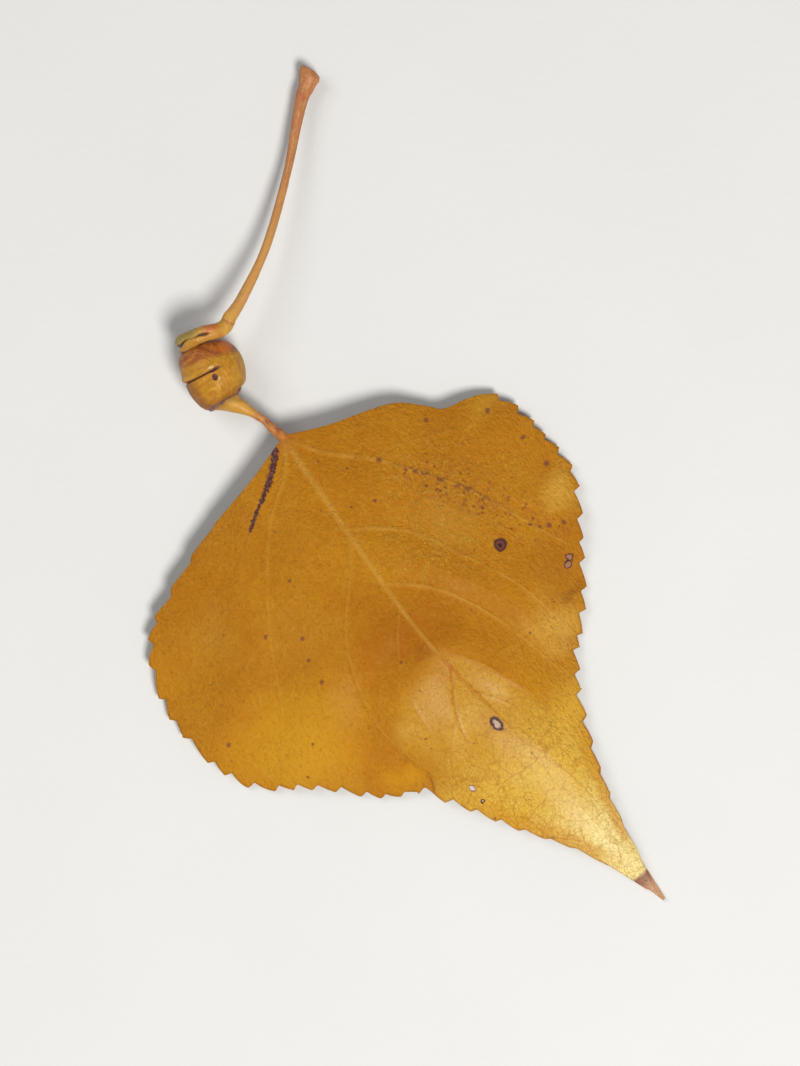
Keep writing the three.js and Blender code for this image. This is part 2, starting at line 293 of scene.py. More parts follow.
# Swellings and hollows of the sheet: the middle of each, its stretch along u and v, its width and height.
SWELLINGS = [
    ((34.0, 10.2), (1.2, 1.0), 3.0, 0.5), ((34.6, 15.0), (1.0, 1.6), 1.7, -0.6),
    ((24.4, 21.6), (1.0, 1.0), 2.2, 0.4), ((14.0, 21.5), (1.0, 1.2), 3.4, 0.45),
    ((8.6, 15.5), (1.0, 1.0), 2.6, -0.5), ((10.9, -24.4), (1.0, 1.0), 2.1, 0.3),
]
FACET_REACH = 60.0


class SheetRelief:
    """How the sheet stands off its plain arch: swollen between the veins, rippled, broken at the facet."""

    def __init__(self, u, v):
        self.midrib, self.midrib_width = vein_field(u, v, [MIDRIB])
        self.vein, self.vein_width = vein_field(u, v, SIDE_VEINS.values())
        facet, _ = vein_field(u, v, [[FACET, 1, 1]], FACET_REACH)
        crease = ramp(-v, 10.0, 11.5) * ramp(u, 34.5, 38.5) * (facet < 20)
        nearest = np.minimum(np.abs(self.midrib), np.abs(self.vein))
        calm = 1 - 0.85 * ramp(-facet, 0.0, 2.0) * ramp(u, 32, 40)
        self.height = 0.26 * (1 - bell(nearest, 2.6)) * ramp(u, 2, 9) * calm
        self.height -= (0.08 * bell(self.vein, 0.9) + 0.12 * bell(self.midrib, 1.3)) * calm
        self.height -= 0.55 * (facet > 0) * (1 - bell(facet, 2.2)) * bell(facet, 6.0) * ramp(u, 24, 29)
        self.height -= 0.6 * ramp(facet, -0.15, 0.25) * bell(np.maximum(facet, 0), 3.0) * crease
        for (middle_u, middle_v), (long_u, long_v), width, height in SWELLINGS:
            self.height += height * bell(np.hypot((u - middle_u) / long_u, (v - middle_v) / long_v), width)
        self.height += 0.16 * np.sin(0.42 * u - 0.55 * v + 0.6) * ramp(v, -9, 4) * ramp(u, 4, 12)
        self.height += 0.18 * np.sin(0.5 * u + 0.34 * v) * ramp(-v, 6, 18)
        self.facet = facet


GROUND_GAP = 0.02


def lying_height(u, v, relief):
    """Height of the middle of the sheet with its relief, where its lowest stretches lie on the ground."""
    return np.maximum(sheet_height(u, v) + relief.height, BLADE_THICKNESS / 2 + GROUND_GAP)


# ---- Upper skin of the blade ----
# The upper skin is the waxy one: golden yellow, netted with fine veinlets, glossiest and palest towards the
# tip, where part of the paleness is painted sheen, and marked by a dark scar beside the stalk, a few scabs and
# many flecks. It ends at the sheet's rim.
STATIONS = 560
LANES = 80


class Tone:
    """A value that varies over a surface. Arithmetic on it adds Math nodes to its finish."""

    def __init__(self, finish, socket):
        self.finish = finish
        self.socket = socket

    def math(self, operation, first, second=0.5):
        return self.finish.node("ShaderNodeMath", {"operation": operation}, {0: first, 1: second})

    def __add__(self, other):
        return self.math("ADD", self, other)

    __radd__ = __add__

    def __sub__(self, other):
        return self.math("SUBTRACT", self, other)

    def __rsub__(self, other):
        return self.math("SUBTRACT", other, self)

    def __mul__(self, other):
        return self.math("MULTIPLY", self, other)

    __rmul__ = __mul__

    def __truediv__(self, other):
        return self.math("DIVIDE", self, other)

    def __abs__(self):
        return self.math("ABSOLUTE", self)


class Finish:
    """A procedural finish: a Principled shader, with constants set on its own sockets."""

    def __init__(self, name, **constants):
        self.material = bpy.data.materials.new(name)
        self.material.use_nodes = True
        self.tree = self.material.node_tree
        self.tree.nodes.clear()
        self.shader = self.tree.nodes.new("ShaderNodeBsdfPrincipled")
        output = self.tree.nodes.new("ShaderNodeOutputMaterial")
        self.tree.links.new(self.shader.outputs[0], output.inputs[0])
        for socket, value in constants.items():
            self.shader.inputs[socket.replace("_", " ")].default_value = value

    def node(self, kind, settings=None, inputs=None, output=0):
        """Adds a node: its settings first, then the values or links of its sockets."""
        made = self.tree.nodes.new(kind)
        for setting, value in (settings or {}).items():
            setattr(made, setting, value)
        for socket, value in (inputs or {}).items():
            self.feed(made.inputs[socket], value)
        return Tone(self, made.outputs[output])

    def feed(self, socket, value):
        if isinstance(value, Tone):
            self.tree.links.new(value.socket, socket)
        else:
            socket.default_value = value

    def read(self, name, output="Fac"):
        """A value or place that the mesh carries at its points."""
        return self.node("ShaderNodeAttribute", {"attribute_name": name}, output=output)

    def step(self, value, low, high):
        """Smooth step from 0 at low to 1 at high."""
        return self.node("ShaderNodeMapRange", {"interpolation_type": "SMOOTHSTEP"},
                         {"Value": value, "From Min": low, "From Max": high})

    def mix(self, share, first, second):
        """Blends two colours."""
        return self.node("ShaderNodeMix", {"data_type": "RGBA"}, {0: share, 6: first, 7: second}, output=2)

    def cloud(self, place, scale, detail=3.0, roughness=0.55):
        """Soft random patches, about 0.5 in the middle."""
        return self.node("ShaderNodeTexNoise", {}, {"Vector": place, "Scale": scale, "Detail": detail,
                                                    "Roughness": roughness})

    def cells(self, place, scale, feature="DISTANCE_TO_EDGE"):
        """Random cells, such as the meshes of a net: distance to the nearest edge or middle."""
        return self.node("ShaderNodeTexVoronoi", {"feature": feature}, {"Vector": place, "Scale": scale},
                         output="Distance")

    def apart(self, place, spot):
        """Distance between a place and one spot."""
        return self.node("ShaderNodeVectorMath", {"operation": "DISTANCE"}, {0: place, 1: spot},
                         output="Value")

    def scaled(self, place, factors):
        """Stretches a place along each direction."""
        return self.node("ShaderNodeVectorMath", {"operation": "MULTIPLY"}, {0: place, 1: factors})

    def shaken(self, place, scale, amount):
        """Moves a place about at random, which roughens whatever is drawn there."""
        wobble = self.node("ShaderNodeTexNoise", {}, {"Vector": place, "Scale": scale, "Detail": 2.0},
                           output="Color")
        centred = self.node("ShaderNodeVectorMath", {"operation": "SUBTRACT"},
                            {0: wobble, 1: (0.5, 0.5, 0.5)})
        sized = self.node("ShaderNodeVectorMath", {"operation": "SCALE"}, {0: centred, "Scale": amount})
        return self.node("ShaderNodeVectorMath", {"operation": "ADD"}, {0: place, 1: sized})

    def dress(self, colour, roughness, relief, lift=1.0):
        """Feeds the shader: colour, roughness and the fine relief, which is in millimetres."""
        self.feed(self.shader.inputs["Base Color"], colour)
        self.feed(self.shader.inputs["Roughness"], roughness)
        bump = self.node("ShaderNodeBump", {}, {"Strength": lift, "Distance": MM, "Height": relief})
        self.feed(self.shader.inputs["Normal"], bump)


def rgb(red, green, blue):
    return (red, green, blue, 1.0)


def make_piece(name, points, faces, finish, slot, chart, **carried):
    """A smooth mesh laid in the frame, with values or places carried at its points."""
    mesh = bpy.data.meshes.new(name)
    mesh.from_pydata((points * MM).tolist(), [], faces.tolist())
    mesh.polygons.foreach_set("use_smooth", np.ones(len(mesh.polygons), bool))
    for key, values in carried.items():
        values = np.asarray(values, np.float32)
        if values.ndim == 2:
            mesh.attributes.new(key, "FLOAT_VECTOR", "POINT").data.foreach_set("vector", values.ravel())
        else:
            mesh.attributes.new(key, "FLOAT", "POINT").data.foreach_set("value", values)
    corners = np.empty(len(mesh.loops), np.int32)
    mesh.loops.foreach_get("vertex_index", corners)
    chart = np.asarray(chart, np.float32)[corners]
    mesh.uv_layers.new(name="OFBake").data.foreach_set("uv", chart.ravel())
    mesh.materials.append(finish.material)
    piece = bpy.data.objects.new(name, mesh)
    bpy.context.scene.collection.objects.link(piece)
    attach(piece, "root")
    return piece


def grid_faces(rows, columns):
    """The quads of a grid of points."""
    index = np.arange(rows * columns).reshape(rows, columns)
    return np.stack([index[:-1, :-1], index[1:, :-1], index[1:, 1:], index[:-1, 1:]], -1).reshape(-1, 4)


CHART_EDGE = 0.01
CHART_SPAN = 0.98
BLADE_WIDTH = 57
RIGHT_WIDTH = 32


def leaf_chart(u, v):
    """Where each point of the blade goes on its flat chart."""
    along_chart = CHART_EDGE + CHART_SPAN * (u + 0.5) / (BLADE_LENGTH + 1)
    across_chart = CHART_EDGE + CHART_SPAN * (v + RIGHT_WIDTH) / BLADE_WIDTH
    return np.stack([along_chart, across_chart], -1)


plan = blade_plan(STATIONS, LANES)
rows, columns = plan.shape[:2]
u, v = plan[..., 0].ravel(), plan[..., 1].ravel()
relief = SheetRelief(u, v)
veinlet_distance, veinlet_width = vein_field(u, v, BRANCH_VEINS)
raised = np.maximum(0.12 * bell(relief.midrib, 0.6 * relief.midrib_width + 0.06),
                    0.08 * bell(relief.vein, 0.6 * relief.vein_width + 0.1))
raised = np.maximum(raised, 0.03 * bell(veinlet_distance, 0.24)) * (1 - 0.9 * ramp(u, 35, 44))
half_width = np.linalg.norm(plan[:, [0, -1]] - plan[:, [LANES]], axis=-1)
across = np.linspace(-1, 1, columns)[None, :]
edge_distance = ((1 - np.abs(across)) * np.where(across < 0, half_width[:, :1], half_width[:, 1:])).ravel()
first_vein_distance, _ = vein_field(u, v, [SIDE_VEINS["rib_left_basal"]])
SCAR = [(0.7, -1.7), (2.4, -3.6), (4.0, -6.1), (4.6, -7.4), (6.0, -9.8)]
scar_distance, _ = vein_field(u, v, [[SCAR, 0.5, 0.16]])

GOLD = rgb(0.425, 0.156, 0.003)
skin = Finish("golden_upper_skin", Specular_IOR_Level=0.16, Coat_Roughness=0.3, Coat_IOR=1.4)
place = skin.read("place", "Vector")
along = skin.node("ShaderNodeSeparateXYZ", {}, {0: place}, output=0)
aside = skin.node("ShaderNodeSeparateXYZ", {}, {0: place}, output=1)
rough_place = skin.shaken(place, 1.4, 0.5)
facet = skin.read("facet")

patches = skin.cloud(place, 0.09, 5.0)
mottle = skin.cloud(place, 0.6, 5.0, 0.62)
grain = skin.cloud(place, 3.4, 3.0, 0.7)
leather = skin.cloud(skin.scaled(place, (1.0, 1.5, 1.0)), 1.5, 4.0, 0.75)
far_shaken = skin.shaken(skin.shaken(place, 0.22, 6.0), 1.0, 1.6)
gold = skin.mix(skin.step(patches, 0.36, 0.66), GOLD, rgb(0.475, 0.19, 0.004))
gold = skin.mix(skin.step(mottle, 0.42, 0.75) * 0.35, gold, rgb(0.35, 0.115, 0.002))

# Paler and darker zones: where each lies, how far it reaches, its colour and how strongly it shows. The pale
# ones at (37.3, 10.6), (25.4, 20.8) and (12.0, 20.6) are painted highlights on swellings that face the lamp,
# and the dark one at (35.0, 14.6) is painted shade in the hollow at the notch of the margin. The rest make the
# sheet paler or darker in patches.
TONE_AND_LIGHT_ZONES = [
    ((29.5, -21.5), 11.5, (0.6, 0.29, 0.01), 0.75), ((41.0, 5.5), 5.5, (0.5, 0.21, 0.003), 0.7),
    ((39.6, -14.4), 3.4, (0.55, 0.25, 0.004), 0.8), ((19.0, -13.0), 6.0, (0.47, 0.2, 0.012), 0.5),
    ((37.3, 10.6), 5.0, (0.62, 0.34, 0.05), 0.9), ((25.4, 20.8), 4.0, (0.62, 0.34, 0.04), 0.8),
    ((12.0, 20.6), 3.2, (0.58, 0.3, 0.02), 0.65),
    ((46.5, 5.4), 4.5, (0.62, 0.3, 0.012), 0.7), ((19.5, 9.0), 6.0, (0.48, 0.22, 0.02), 0.6),
    ((12.0, -21.0), 5.0, (0.46, 0.21, 0.02), 0.5), ((35.0, 14.6), 1.8, (0.25, 0.09, 0.004), 0.6),
    ((27.0, -4.5), 8.0, (0.35, 0.105, 0.001), 0.75), ((28.5, 1.2), 5.0, (0.36, 0.115, 0.001), 0.6),
    ((30.5, -3.6), 1.8, (0.3, 0.07, 0.004), 0.5), ((31.5, 14.2), 3.0, (0.37, 0.13, 0.002), 0.5),
]
for (zone_u, zone_v), zone_reach, zone_colour, zone_share in TONE_AND_LIGHT_ZONES:
    zone = 1 - skin.step(skin.apart(far_shaken, (zone_u, zone_v, 0)), zone_reach * 0.1, zone_reach)
    gold = skin.mix(zone * zone_share, gold, rgb(*zone_colour))

# The tip facet is paler and yellower, and the blade pales further towards its tip. This is partly the sheet's
# own yellowing and partly painted sheen where the facet faces the lamp.
tip_edge = (1 - skin.step(aside, -4.0, 0.0)) * 1.6
tip_end = (skin.step((0 - facet + (mottle - 0.5) * 0.8) / (tip_edge + 0.5), -0.3, 1.4)
           * skin.step(along, 27.0, 33.0))
gold = skin.mix(tip_end * 0.58, gold, rgb(0.62, 0.345, 0.03))
gold = skin.mix(skin.step(along, 40.0, 50.0) * 0.62, gold, rgb(0.8, 0.53, 0.07))
gold = skin.mix(skin.step(along, 51.0, 61.0) * 0.75, gold, rgb(0.95, 0.82, 0.36))
# Painted sheen: pale patches over the tip facet.
pale_patch = skin.step(skin.cloud(place, 0.22, 3.0), 0.5, 0.62) * tip_end
gold = skin.mix(pale_patch * 0.2, gold, rgb(0.78, 0.52, 0.1))
orange_edge = ((1 - skin.step(skin.read("edge_distance") - mottle * 2.4, 0.0, 1.8))
               * skin.step(along, 44.0, 50.0))
gold = skin.mix(orange_edge * (1 - skin.step(along, 60.0, 64.0)) * 0.65, gold, rgb(0.6, 0.26, 0.008))

# The waxy skin is crinkled all over, most beside the first side vein. The crinkles are bumps and are less
# rough, and their glints are painted into the colour as pale lines.
crinkle_glint_lines = 1 - skin.step(abs(skin.cloud(skin.scaled(place, (1.0, 1.3, 1.0)), 1.25, 3.0, 0.6) - 0.5),
                        0.0, 0.035)
crinkle_glint_lines = crinkle_glint_lines * skin.step(skin.cloud(place, 0.85, 2.0), 0.4, 0.62)
crinkle_zone = 1 - skin.step(skin.apart(place, (18.5, 9.0, 0)), 3.0, 13.0)
crinkle_glint_here = crinkle_zone + tip_end * 0.3 + skin.step(patches, 0.4, 0.62) * 0.25 + 0.16
# Painted highlight: the glints on the crinkles, drawn as pale gold lines.
gold = skin.mix(crinkle_glint_lines * crinkle_glint_here * 0.75, gold, rgb(0.66, 0.38, 0.05))
gold = skin.mix(skin.step(leather, 0.5, 0.7) * (crinkle_zone * 0.3 + 0.22), gold, rgb(0.53, 0.25, 0.015))
gold = skin.mix(skin.step(1 - leather, 0.5, 0.68) * 0.4, gold, rgb(0.32, 0.095, 0.0015))

# The net of veinlets is faint over the blade and drawn darker where the sheen lies, on the tip facet and round
# the lamp-lit patch at (37.3, 10.6). There its dark lines are painted shade in the grooves between glossy
# cells.
coarse_net = 1 - skin.step(skin.cells(skin.shaken(place, 0.8, 0.7), 0.42), 0.0, 0.045)
fine_net = 1 - skin.step(skin.cells(skin.shaken(place, 2.0, 0.25), 1.8), 0.0, 0.1)
net_luck = skin.step(skin.cloud(place, 0.5, 3.0), 0.38, 0.62)
lamp_lit_patch = 1 - skin.step(skin.apart(far_shaken, (37.3, 10.6, 0)), 1.0, 5.0)
net_shows = skin.step(skin.cloud(place, 0.12, 2.0), 0.45, 0.62) * 0.35 + tip_end * 0.6 + lamp_lit_patch * 0.5
gold = skin.mix(coarse_net * (net_shows * 0.5 + 0.06) * (net_luck * 0.4 + 0.6), gold, rgb(0.4, 0.14, 0.006))
gold = skin.mix(fine_net * net_shows * (net_luck * 0.4 + 0.6) * 0.5, gold, rgb(0.47, 0.19, 0.008))

midrib_line = 1 - skin.step(abs(skin.read("midrib_distance")) / skin.read("midrib_width"), 0.15, 1.0)
vein_line = 1 - skin.step(abs(skin.read("vein_distance")) / skin.read("vein_width"), 0.15, 1.15)
veinlet_line = 1 - skin.step(abs(skin.read("veinlet_distance")) / skin.read("veinlet_width"), 0.2, 1.5)
worn = skin.step(skin.cloud(place, 0.35, 3.0), 0.36, 0.6)
gold = skin.mix(veinlet_line * (worn * 0.3 + 0.05), gold, rgb(0.48, 0.22, 0.02))
vein_side = skin.step(aside, -3.0, 0.0) * 0.45 + 0.55
gold = skin.mix(vein_line * (worn * 0.4 + 0.18) * (1 - tip_end) * vein_side, gold, rgb(0.54, 0.27, 0.035))
gold = skin.mix(midrib_line * (worn * 0.2 + 0.42) * (1 - tip_end), gold, rgb(0.54, 0.28, 0.04))
tip_veins = (vein_line + midrib_line) * tip_end * (1 - skin.step(along, 36.0, 45.0))
gold = skin.mix(tip_veins * 0.5 + veinlet_line * tip_end * 0.15, gold, rgb(0.46, 0.15, 0.015))
base_flush = 1 - skin.step(skin.apart(rough_place, (-0.2, 0, 0)), 0.4, 2.6)
gold = skin.mix(base_flush * 0.7, gold, rgb(0.42, 0.13, 0.015))
# A darker reddish patch beside the midrib, where the second right side vein leaves it.
crotch_darkening = 1 - skin.step(skin.apart(rough_place, (32.6, -2.8, 0)), 0.5, 2.4)
gold = skin.mix(crotch_darkening * skin.step(grain, 0.4, 0.6) * 0.55, gold, rgb(0.46, 0.12, 0.02))

rim = 1 - skin.step(skin.read("edge_distance"), 0.03, 0.4)
gold = skin.mix(rim * 0.45, gold, rgb(0.24, 0.09, 0.01))
PURPLE_BROWN = rgb(0.055, 0.014, 0.018)
left_rim = (1 - skin.step(skin.read("edge_distance") + mottle * 0.8, 0.3, 0.9)) * skin.step(aside, 1.0, 2.4)
red_rim = left_rim * skin.step(along, 46.0, 48.5) * (1 - skin.step(along, 55.0, 58.0))
gold = skin.mix(red_rim * 0.6, gold, rgb(0.3, 0.05, 0.01))
tip_rot = skin.step(along + mottle * 1.6, 66.4, 67.0)
rotten = skin.mix(skin.step(along + grain, 67.0, 68.6), rgb(0.24, 0.085, 0.06), rgb(0.5, 0.26, 0.15))
gold = skin.mix(tip_rot * 0.9, gold, rotten)

scar_width = 0.52 - skin.step(along, 0.5, 6.0) * 0.3
scar_gap = abs(skin.read("scar_distance")) + (skin.cloud(place, 2.2, 4.0, 0.7) - 0.5) * 1.3
scar = 1 - skin.step(scar_gap / scar_width, 0.55, 1.15)
scar_colour = skin.mix(skin.step(grain, 0.46, 0.66), PURPLE_BROWN, rgb(0.2, 0.085, 0.09))
gold = skin.mix(scar * 0.94, gold, scar_colour)

marks = scar
SPOTS = [
    ((9.1, 14.1, 0), 0.42), ((12.8, 20.3, 0), 0.4), ((21.9, 21.8, 0), 0.5), ((17.8, 21.5, 0), 0.4),
    ((28.4, 19.0, 0), 0.4), ((27.6, 17.3, 0), 0.4), ((23.6, -27.7, 0), 0.4),
    ((16.7, -16.3, 0), 0.3), ((19.5, -13.1, 0), 0.3), ((21.9, -14.1, 0), 0.3), ((24.8, -14.6, 0), 0.36),
    ((29.8, -20.0, 0), 0.25), ((11.3, 0.9, 0), 0.24), ((35.8, 7.6, 0), 0.24), ((46.7, -1.1, 0), 0.22),
    ((28.9, -6.0, 0), 0.24), ((13.4, -10.0, 0), 0.34), ((50.0, -9.2, 0), 0.24), ((9.2, 6.9, 0), 0.5),
    ((12.6, 3.6, 0), 0.3), ((37.6, -9.4, 0), 0.22), ((7.6, 3.4, 0), 0.22), ((32.4, -23.0, 0), 0.26),
]
for spot, radius in SPOTS:
    mark = 1 - skin.step(skin.apart(rough_place, spot), radius * 0.3, radius * 1.1)
    gold = skin.mix(mark * 0.72, gold, rgb(0.13, 0.035, 0.03))
    marks = marks + mark

# Purple-brown flecks crowd along the first side vein and thin out over the rest of the blade.
from_first_vein = abs(skin.read("first_vein_distance"))
fleck_zone = (skin.step(along, 9.5, 12.5) * (1 - skin.step(along, 27.0, 32.0))
              * (1 - skin.step(from_first_vein, 0.6, 3.6)))
fleck = 1 - skin.step(skin.cells(rough_place, 1.5, "F1"), 0.16, 0.4)
fleck_luck = skin.step(skin.cloud(place, 0.55, 2.0), 0.42, 0.58)
gold = skin.mix(fleck * fleck_zone * fleck_luck * 0.85, gold, rgb(0.13, 0.032, 0.012))
blush = fleck_zone * skin.step(skin.cloud(place, 0.7, 4.0, 0.7), 0.5, 0.62)
gold = skin.mix(blush * 0.4, gold, rgb(0.36, 0.1, 0.02))
vein_decay = skin.step(along, 10.0, 12.0) * (1 - skin.step(along, 19.0, 23.0))
on_vein = (1 - skin.step(from_first_vein, 0.1, 0.5)) * skin.step(skin.cloud(place, 1.0, 4.0, 0.7), 0.44, 0.56)
gold = skin.mix(on_vein * fleck_zone * (vein_decay * 0.6 + 0.2), gold, rgb(0.19, 0.055, 0.022))
speck = 1 - skin.step(skin.cells(rough_place, 0.6, "F1"), 0.05, 0.12)
gold = skin.mix(speck * skin.step(skin.cloud(place, 0.3, 1.0), 0.42, 0.5) * 0.5, gold, rgb(0.16, 0.05, 0.03))
rusty = skin.step(skin.cloud(place, 1.1, 4.0, 0.7), 0.62, 0.7) * (1 - tip_end)
gold = skin.mix(rusty * 0.3, gold, rgb(0.3, 0.08, 0.006))


def scab(colour, marks, middle, size, stretch, core, core_colour):
    """A scab: a dark rough rim round a dry core."""
    flat = skin.scaled(rough_place, (stretch, 1.0, 1.0))
    gap = skin.apart(flat, (middle[0] * stretch, middle[1], 0.0))
    rim_mark = 1 - skin.step(gap + (grain - 0.5) * 0.35, size * 0.85, size * 1.2)
    colour = skin.mix(rim_mark * 0.95, colour, PURPLE_BROWN)
    core_mark = 1 - skin.step(gap + (grain - 0.5) * 0.3, core * 0.7, core * 1.15)
    return skin.mix(core_mark, colour, core_colour), marks + rim_mark


gold, marks = scab(gold, marks, (25.7, 11.6), 0.78, 1.0, 0.56, rgb(0.15, 0.05, 0.035))
gold, marks = scab(gold, marks, (25.75, 11.5), 0.2, 1.0, 0.05, PURPLE_BROWN)
gold, marks = scab(gold, marks, (41.4, -2.0), 0.62, 0.6, 0.34, rgb(0.55, 0.38, 0.27))
gold, marks = scab(gold, marks, (45.5, -9.0), 0.3, 0.7, 0.27, rgb(0.7, 0.55, 0.5))
gold, marks = scab(gold, marks, (47.5, -9.0), 0.26, 1.0, 0.12, rgb(0.6, 0.4, 0.38))
gold, marks = scab(gold, marks, (32.0, 16.85), 0.5, 1.0, 0.4, rgb(0.34, 0.17, 0.1))
gold, marks = scab(gold, marks, (32.55, 16.2), 0.48, 1.0, 0.38, rgb(0.34, 0.17, 0.1))

fine_relief = coarse_net * -0.03 - fine_net * (net_shows * 0.04 + 0.012) + mottle * 0.2 + grain * 0.13
fine_relief = (fine_relief + leather * 0.42 + crinkle_glint_lines * crinkle_glint_here * 0.05 + vein_line * 0.03
               + midrib_line * 0.04)
sheen = 0.48 - tip_end * 0.1 + mottle * 0.14 + fine_net * 0.08 + marks * 0.2 - crinkle_glint_lines * crinkle_glint_here * 0.15
skin.dress(gold, sheen, fine_relief)
skin.feed(skin.shader.inputs["Coat Weight"], tip_end * 0.13 + crinkle_glint_here * leather * 0.12 + 0.01)

upper_height = lying_height(u, v, relief) + BLADE_THICKNESS / 2 + raised
upper_skin = make_piece(
    "blade_upper_skin", leaf_to_ground(u, v, upper_height), grid_faces(rows, columns), skin, "blade",
    leaf_chart(u, v), place=np.stack([u, v, 0 * u], -1), facet=relief.facet,
    midrib_distance=relief.midrib, midrib_width=relief.midrib_width, vein_distance=relief.vein,
    vein_width=relief.vein_width, veinlet_distance=veinlet_distance, veinlet_width=veinlet_width,
    edge_distance=edge_distance, scar_distance=scar_distance, first_vein_distance=first_vein_distance,
)
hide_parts("blade")

# ---- Lower skin of the blade ----
# The lower skin is the same sheet seen from below: paler, matt, and netted with veinlets. It meets the upper
# skin along the rim, so the two close the blade.
UNDER_LANES = 60
under_plan = blade_plan(STATIONS, UNDER_LANES)
under_rows, under_columns = under_plan.shape[:2]
under_u, under_v = under_plan[..., 0].ravel(), under_plan[..., 1].ravel()
under_relief = SheetRelief(under_u, under_v)
under_middle = lying_height(under_u, under_v, under_relief)
under_points = leaf_to_ground(under_u, under_v, under_middle - BLADE_THICKNESS / 2)
under_points = under_points.reshape(under_rows, under_columns, 3)
rim_top = leaf_to_ground(under_u, under_v, under_middle + BLADE_THICKNESS / 2)
rim_top = rim_top.reshape(under_rows, under_columns, 3)
under_points = np.concatenate([rim_top[:, :1], under_points, rim_top[:, -1:]], axis=1)
under_place = np.stack([under_u, under_v, 0 * under_u], -1).reshape(under_rows, under_columns, 3)
edge_step = np.array([0.0, 0.35, 0.0])
under_place = np.concatenate([under_place[:, :1] - edge_step, under_place, under_place[:, -1:] + edge_step],
                             axis=1)

pale_skin = Finish("pale_lower_skin", Specular_IOR_Level=0.2)
under = pale_skin.read("place", "Vector")
under_net = 1 - pale_skin.step(pale_skin.cells(pale_skin.shaken(under, 1.4, 0.5), 1.7), 0.0, 0.16)
under_coarse = 1 - pale_skin.step(pale_skin.cells(pale_skin.shaken(under, 0.5, 1.6), 0.5), 0.0, 0.07)
under_patches = pale_skin.cloud(under, 0.16, 4.0)
under_gold = pale_skin.mix(pale_skin.step(under_patches, 0.35, 0.7), rgb(0.5, 0.27, 0.06),
                           rgb(0.58, 0.35, 0.11))
under_gold = pale_skin.mix(under_net * 0.3, under_gold, rgb(0.62, 0.42, 0.18))
under_gold = pale_skin.mix(under_coarse * 0.45, under_gold, rgb(0.66, 0.46, 0.2))
under_speck = 1 - pale_skin.step(pale_skin.cells(under, 0.3, "F1"), 0.03, 0.07)
under_gold = pale_skin.mix(under_speck * 0.6, under_gold, rgb(0.2, 0.08, 0.04))
pale_skin.dress(under_gold, 0.62 + under_patches * 0.1, under_coarse * 0.05 + under_net * 0.03)
flat_place = under_place.reshape(-1, 3)
lower_skin = make_piece(
    "blade_lower_skin", under_points.reshape(-1, 3), grid_faces(under_rows, under_columns + 2)[:, ::-1],
    pale_skin, "blade", leaf_chart(flat_place[:, 0], flat_place[:, 1]), place=flat_place,
)
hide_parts("blade")

# ---- Ribs under the blade ----
# Under the sheet the midrib and the side veins stand out as round tapering ribs of pale, tough tissue, each
# grown into the sheet along its whole length and flattening out towards the margin.
RIB_SIDES = 14
RIB_SINK = 0.7
RIB_DEPTH = 0.8
RIB_LUMP = 0.05
MIDRIB_RINGS = 160
RIB_RINGS = 90
RIB_END = 0.1


def rib_piece(name, points, start_width, end_width, samples):
    """A ridge that hangs from the sheet along a vein."""
    line = smooth_line(points, samples)
    way = headings(line)
    share = np.linspace(0, 1, samples)
    radius = (start_width + (end_width - start_width) * share) * np.sqrt(np.clip((1 - share) * 12, 0, 1))
    radius = radius * np.sqrt(np.clip(share * 20 + 0.1, 0, 1))
    turn = np.linspace(0, 2 * np.pi, RIB_SIDES + 1)
    lump = 1 + RIB_LUMP * np.sin(share * 57 + len(name))
    rib_u = line[:, :1] - way[:, 1:] * (radius * lump)[:, None] * np.cos(turn)[None]
    rib_v = line[:, 1:] + way[:, :1] * (radius * lump)[:, None] * np.cos(turn)[None]
    middle = lying_height(*line.T, SheetRelief(*line.T))
    height = ((middle - BLADE_THICKNESS / 2 - RIB_SINK * radius)[:, None]
              + radius[:, None] * RIB_DEPTH * np.sin(turn)[None])
    points = leaf_to_ground(rib_u, rib_v, np.maximum(height, GROUND_GAP)).reshape(-1, 3)
    along_rib = np.repeat(line_lengths(line), RIB_SIDES + 1)
    round_rib = np.tile(turn, samples)
    chart = np.stack([0.02 + 0.96 * along_rib / along_rib.max(), 0.05 + 0.9 * round_rib / (2 * np.pi)], -1)
    carried = np.stack([along_rib, np.cos(round_rib), np.sin(round_rib)], -1)
    piece = make_piece(name + "_ridge", points, grid_faces(samples, RIB_SIDES + 1), rib_finish, "rib", chart,
                       place=carried)
    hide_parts(name)


rib_finish = Finish("pale_rib", Specular_IOR_Level=0.3)
rib_place = rib_finish.read("place", "Vector")
rib_streak = rib_finish.cloud(rib_finish.scaled(rib_place, (0.6, 3.0, 3.0)), 1.0, 4.0)
rib_colour = rib_finish.mix(rib_finish.step(rib_streak, 0.35, 0.65), rgb(0.5, 0.3, 0.09),
                            rgb(0.64, 0.45, 0.18))
rib_blotch = rib_finish.step(rib_finish.cloud(rib_place, 0.35, 3.0), 0.56, 0.68)
rib_colour = rib_finish.mix(rib_blotch * 0.5, rib_colour, rgb(0.4, 0.19, 0.05))
rib_finish.dress(rib_colour, 0.5 + rib_streak * 0.15, rib_streak * 0.08)
rib_piece("midrib", MIDRIB[0], 0.62, 0.16, MIDRIB_RINGS)
for rib, (rib_points, _, _) in SIDE_VEINS.items():
    thickness = 0.42 if "basal" in rib else 0.32
    rib_piece(rib, rib_points, thickness, RIB_END, RIB_RINGS)

# ---- Coils of the gall ----
# Below the blade's base the stalk has swollen round a nest of plant lice and wound itself into a hollow ball:
# two fat turns, split by one seam that runs round them, with a crusty hole where the lice came out.
coil_corners = np.array([*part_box("gall_middle_coil"), *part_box("gall_lower_coil")]) / MM
GALL_CENTRE = (coil_corners.min(0) + coil_corners.max(0)) / 2 + (-0.04, 0.17, 0.06)
GALL_TURN = math.radians(29)


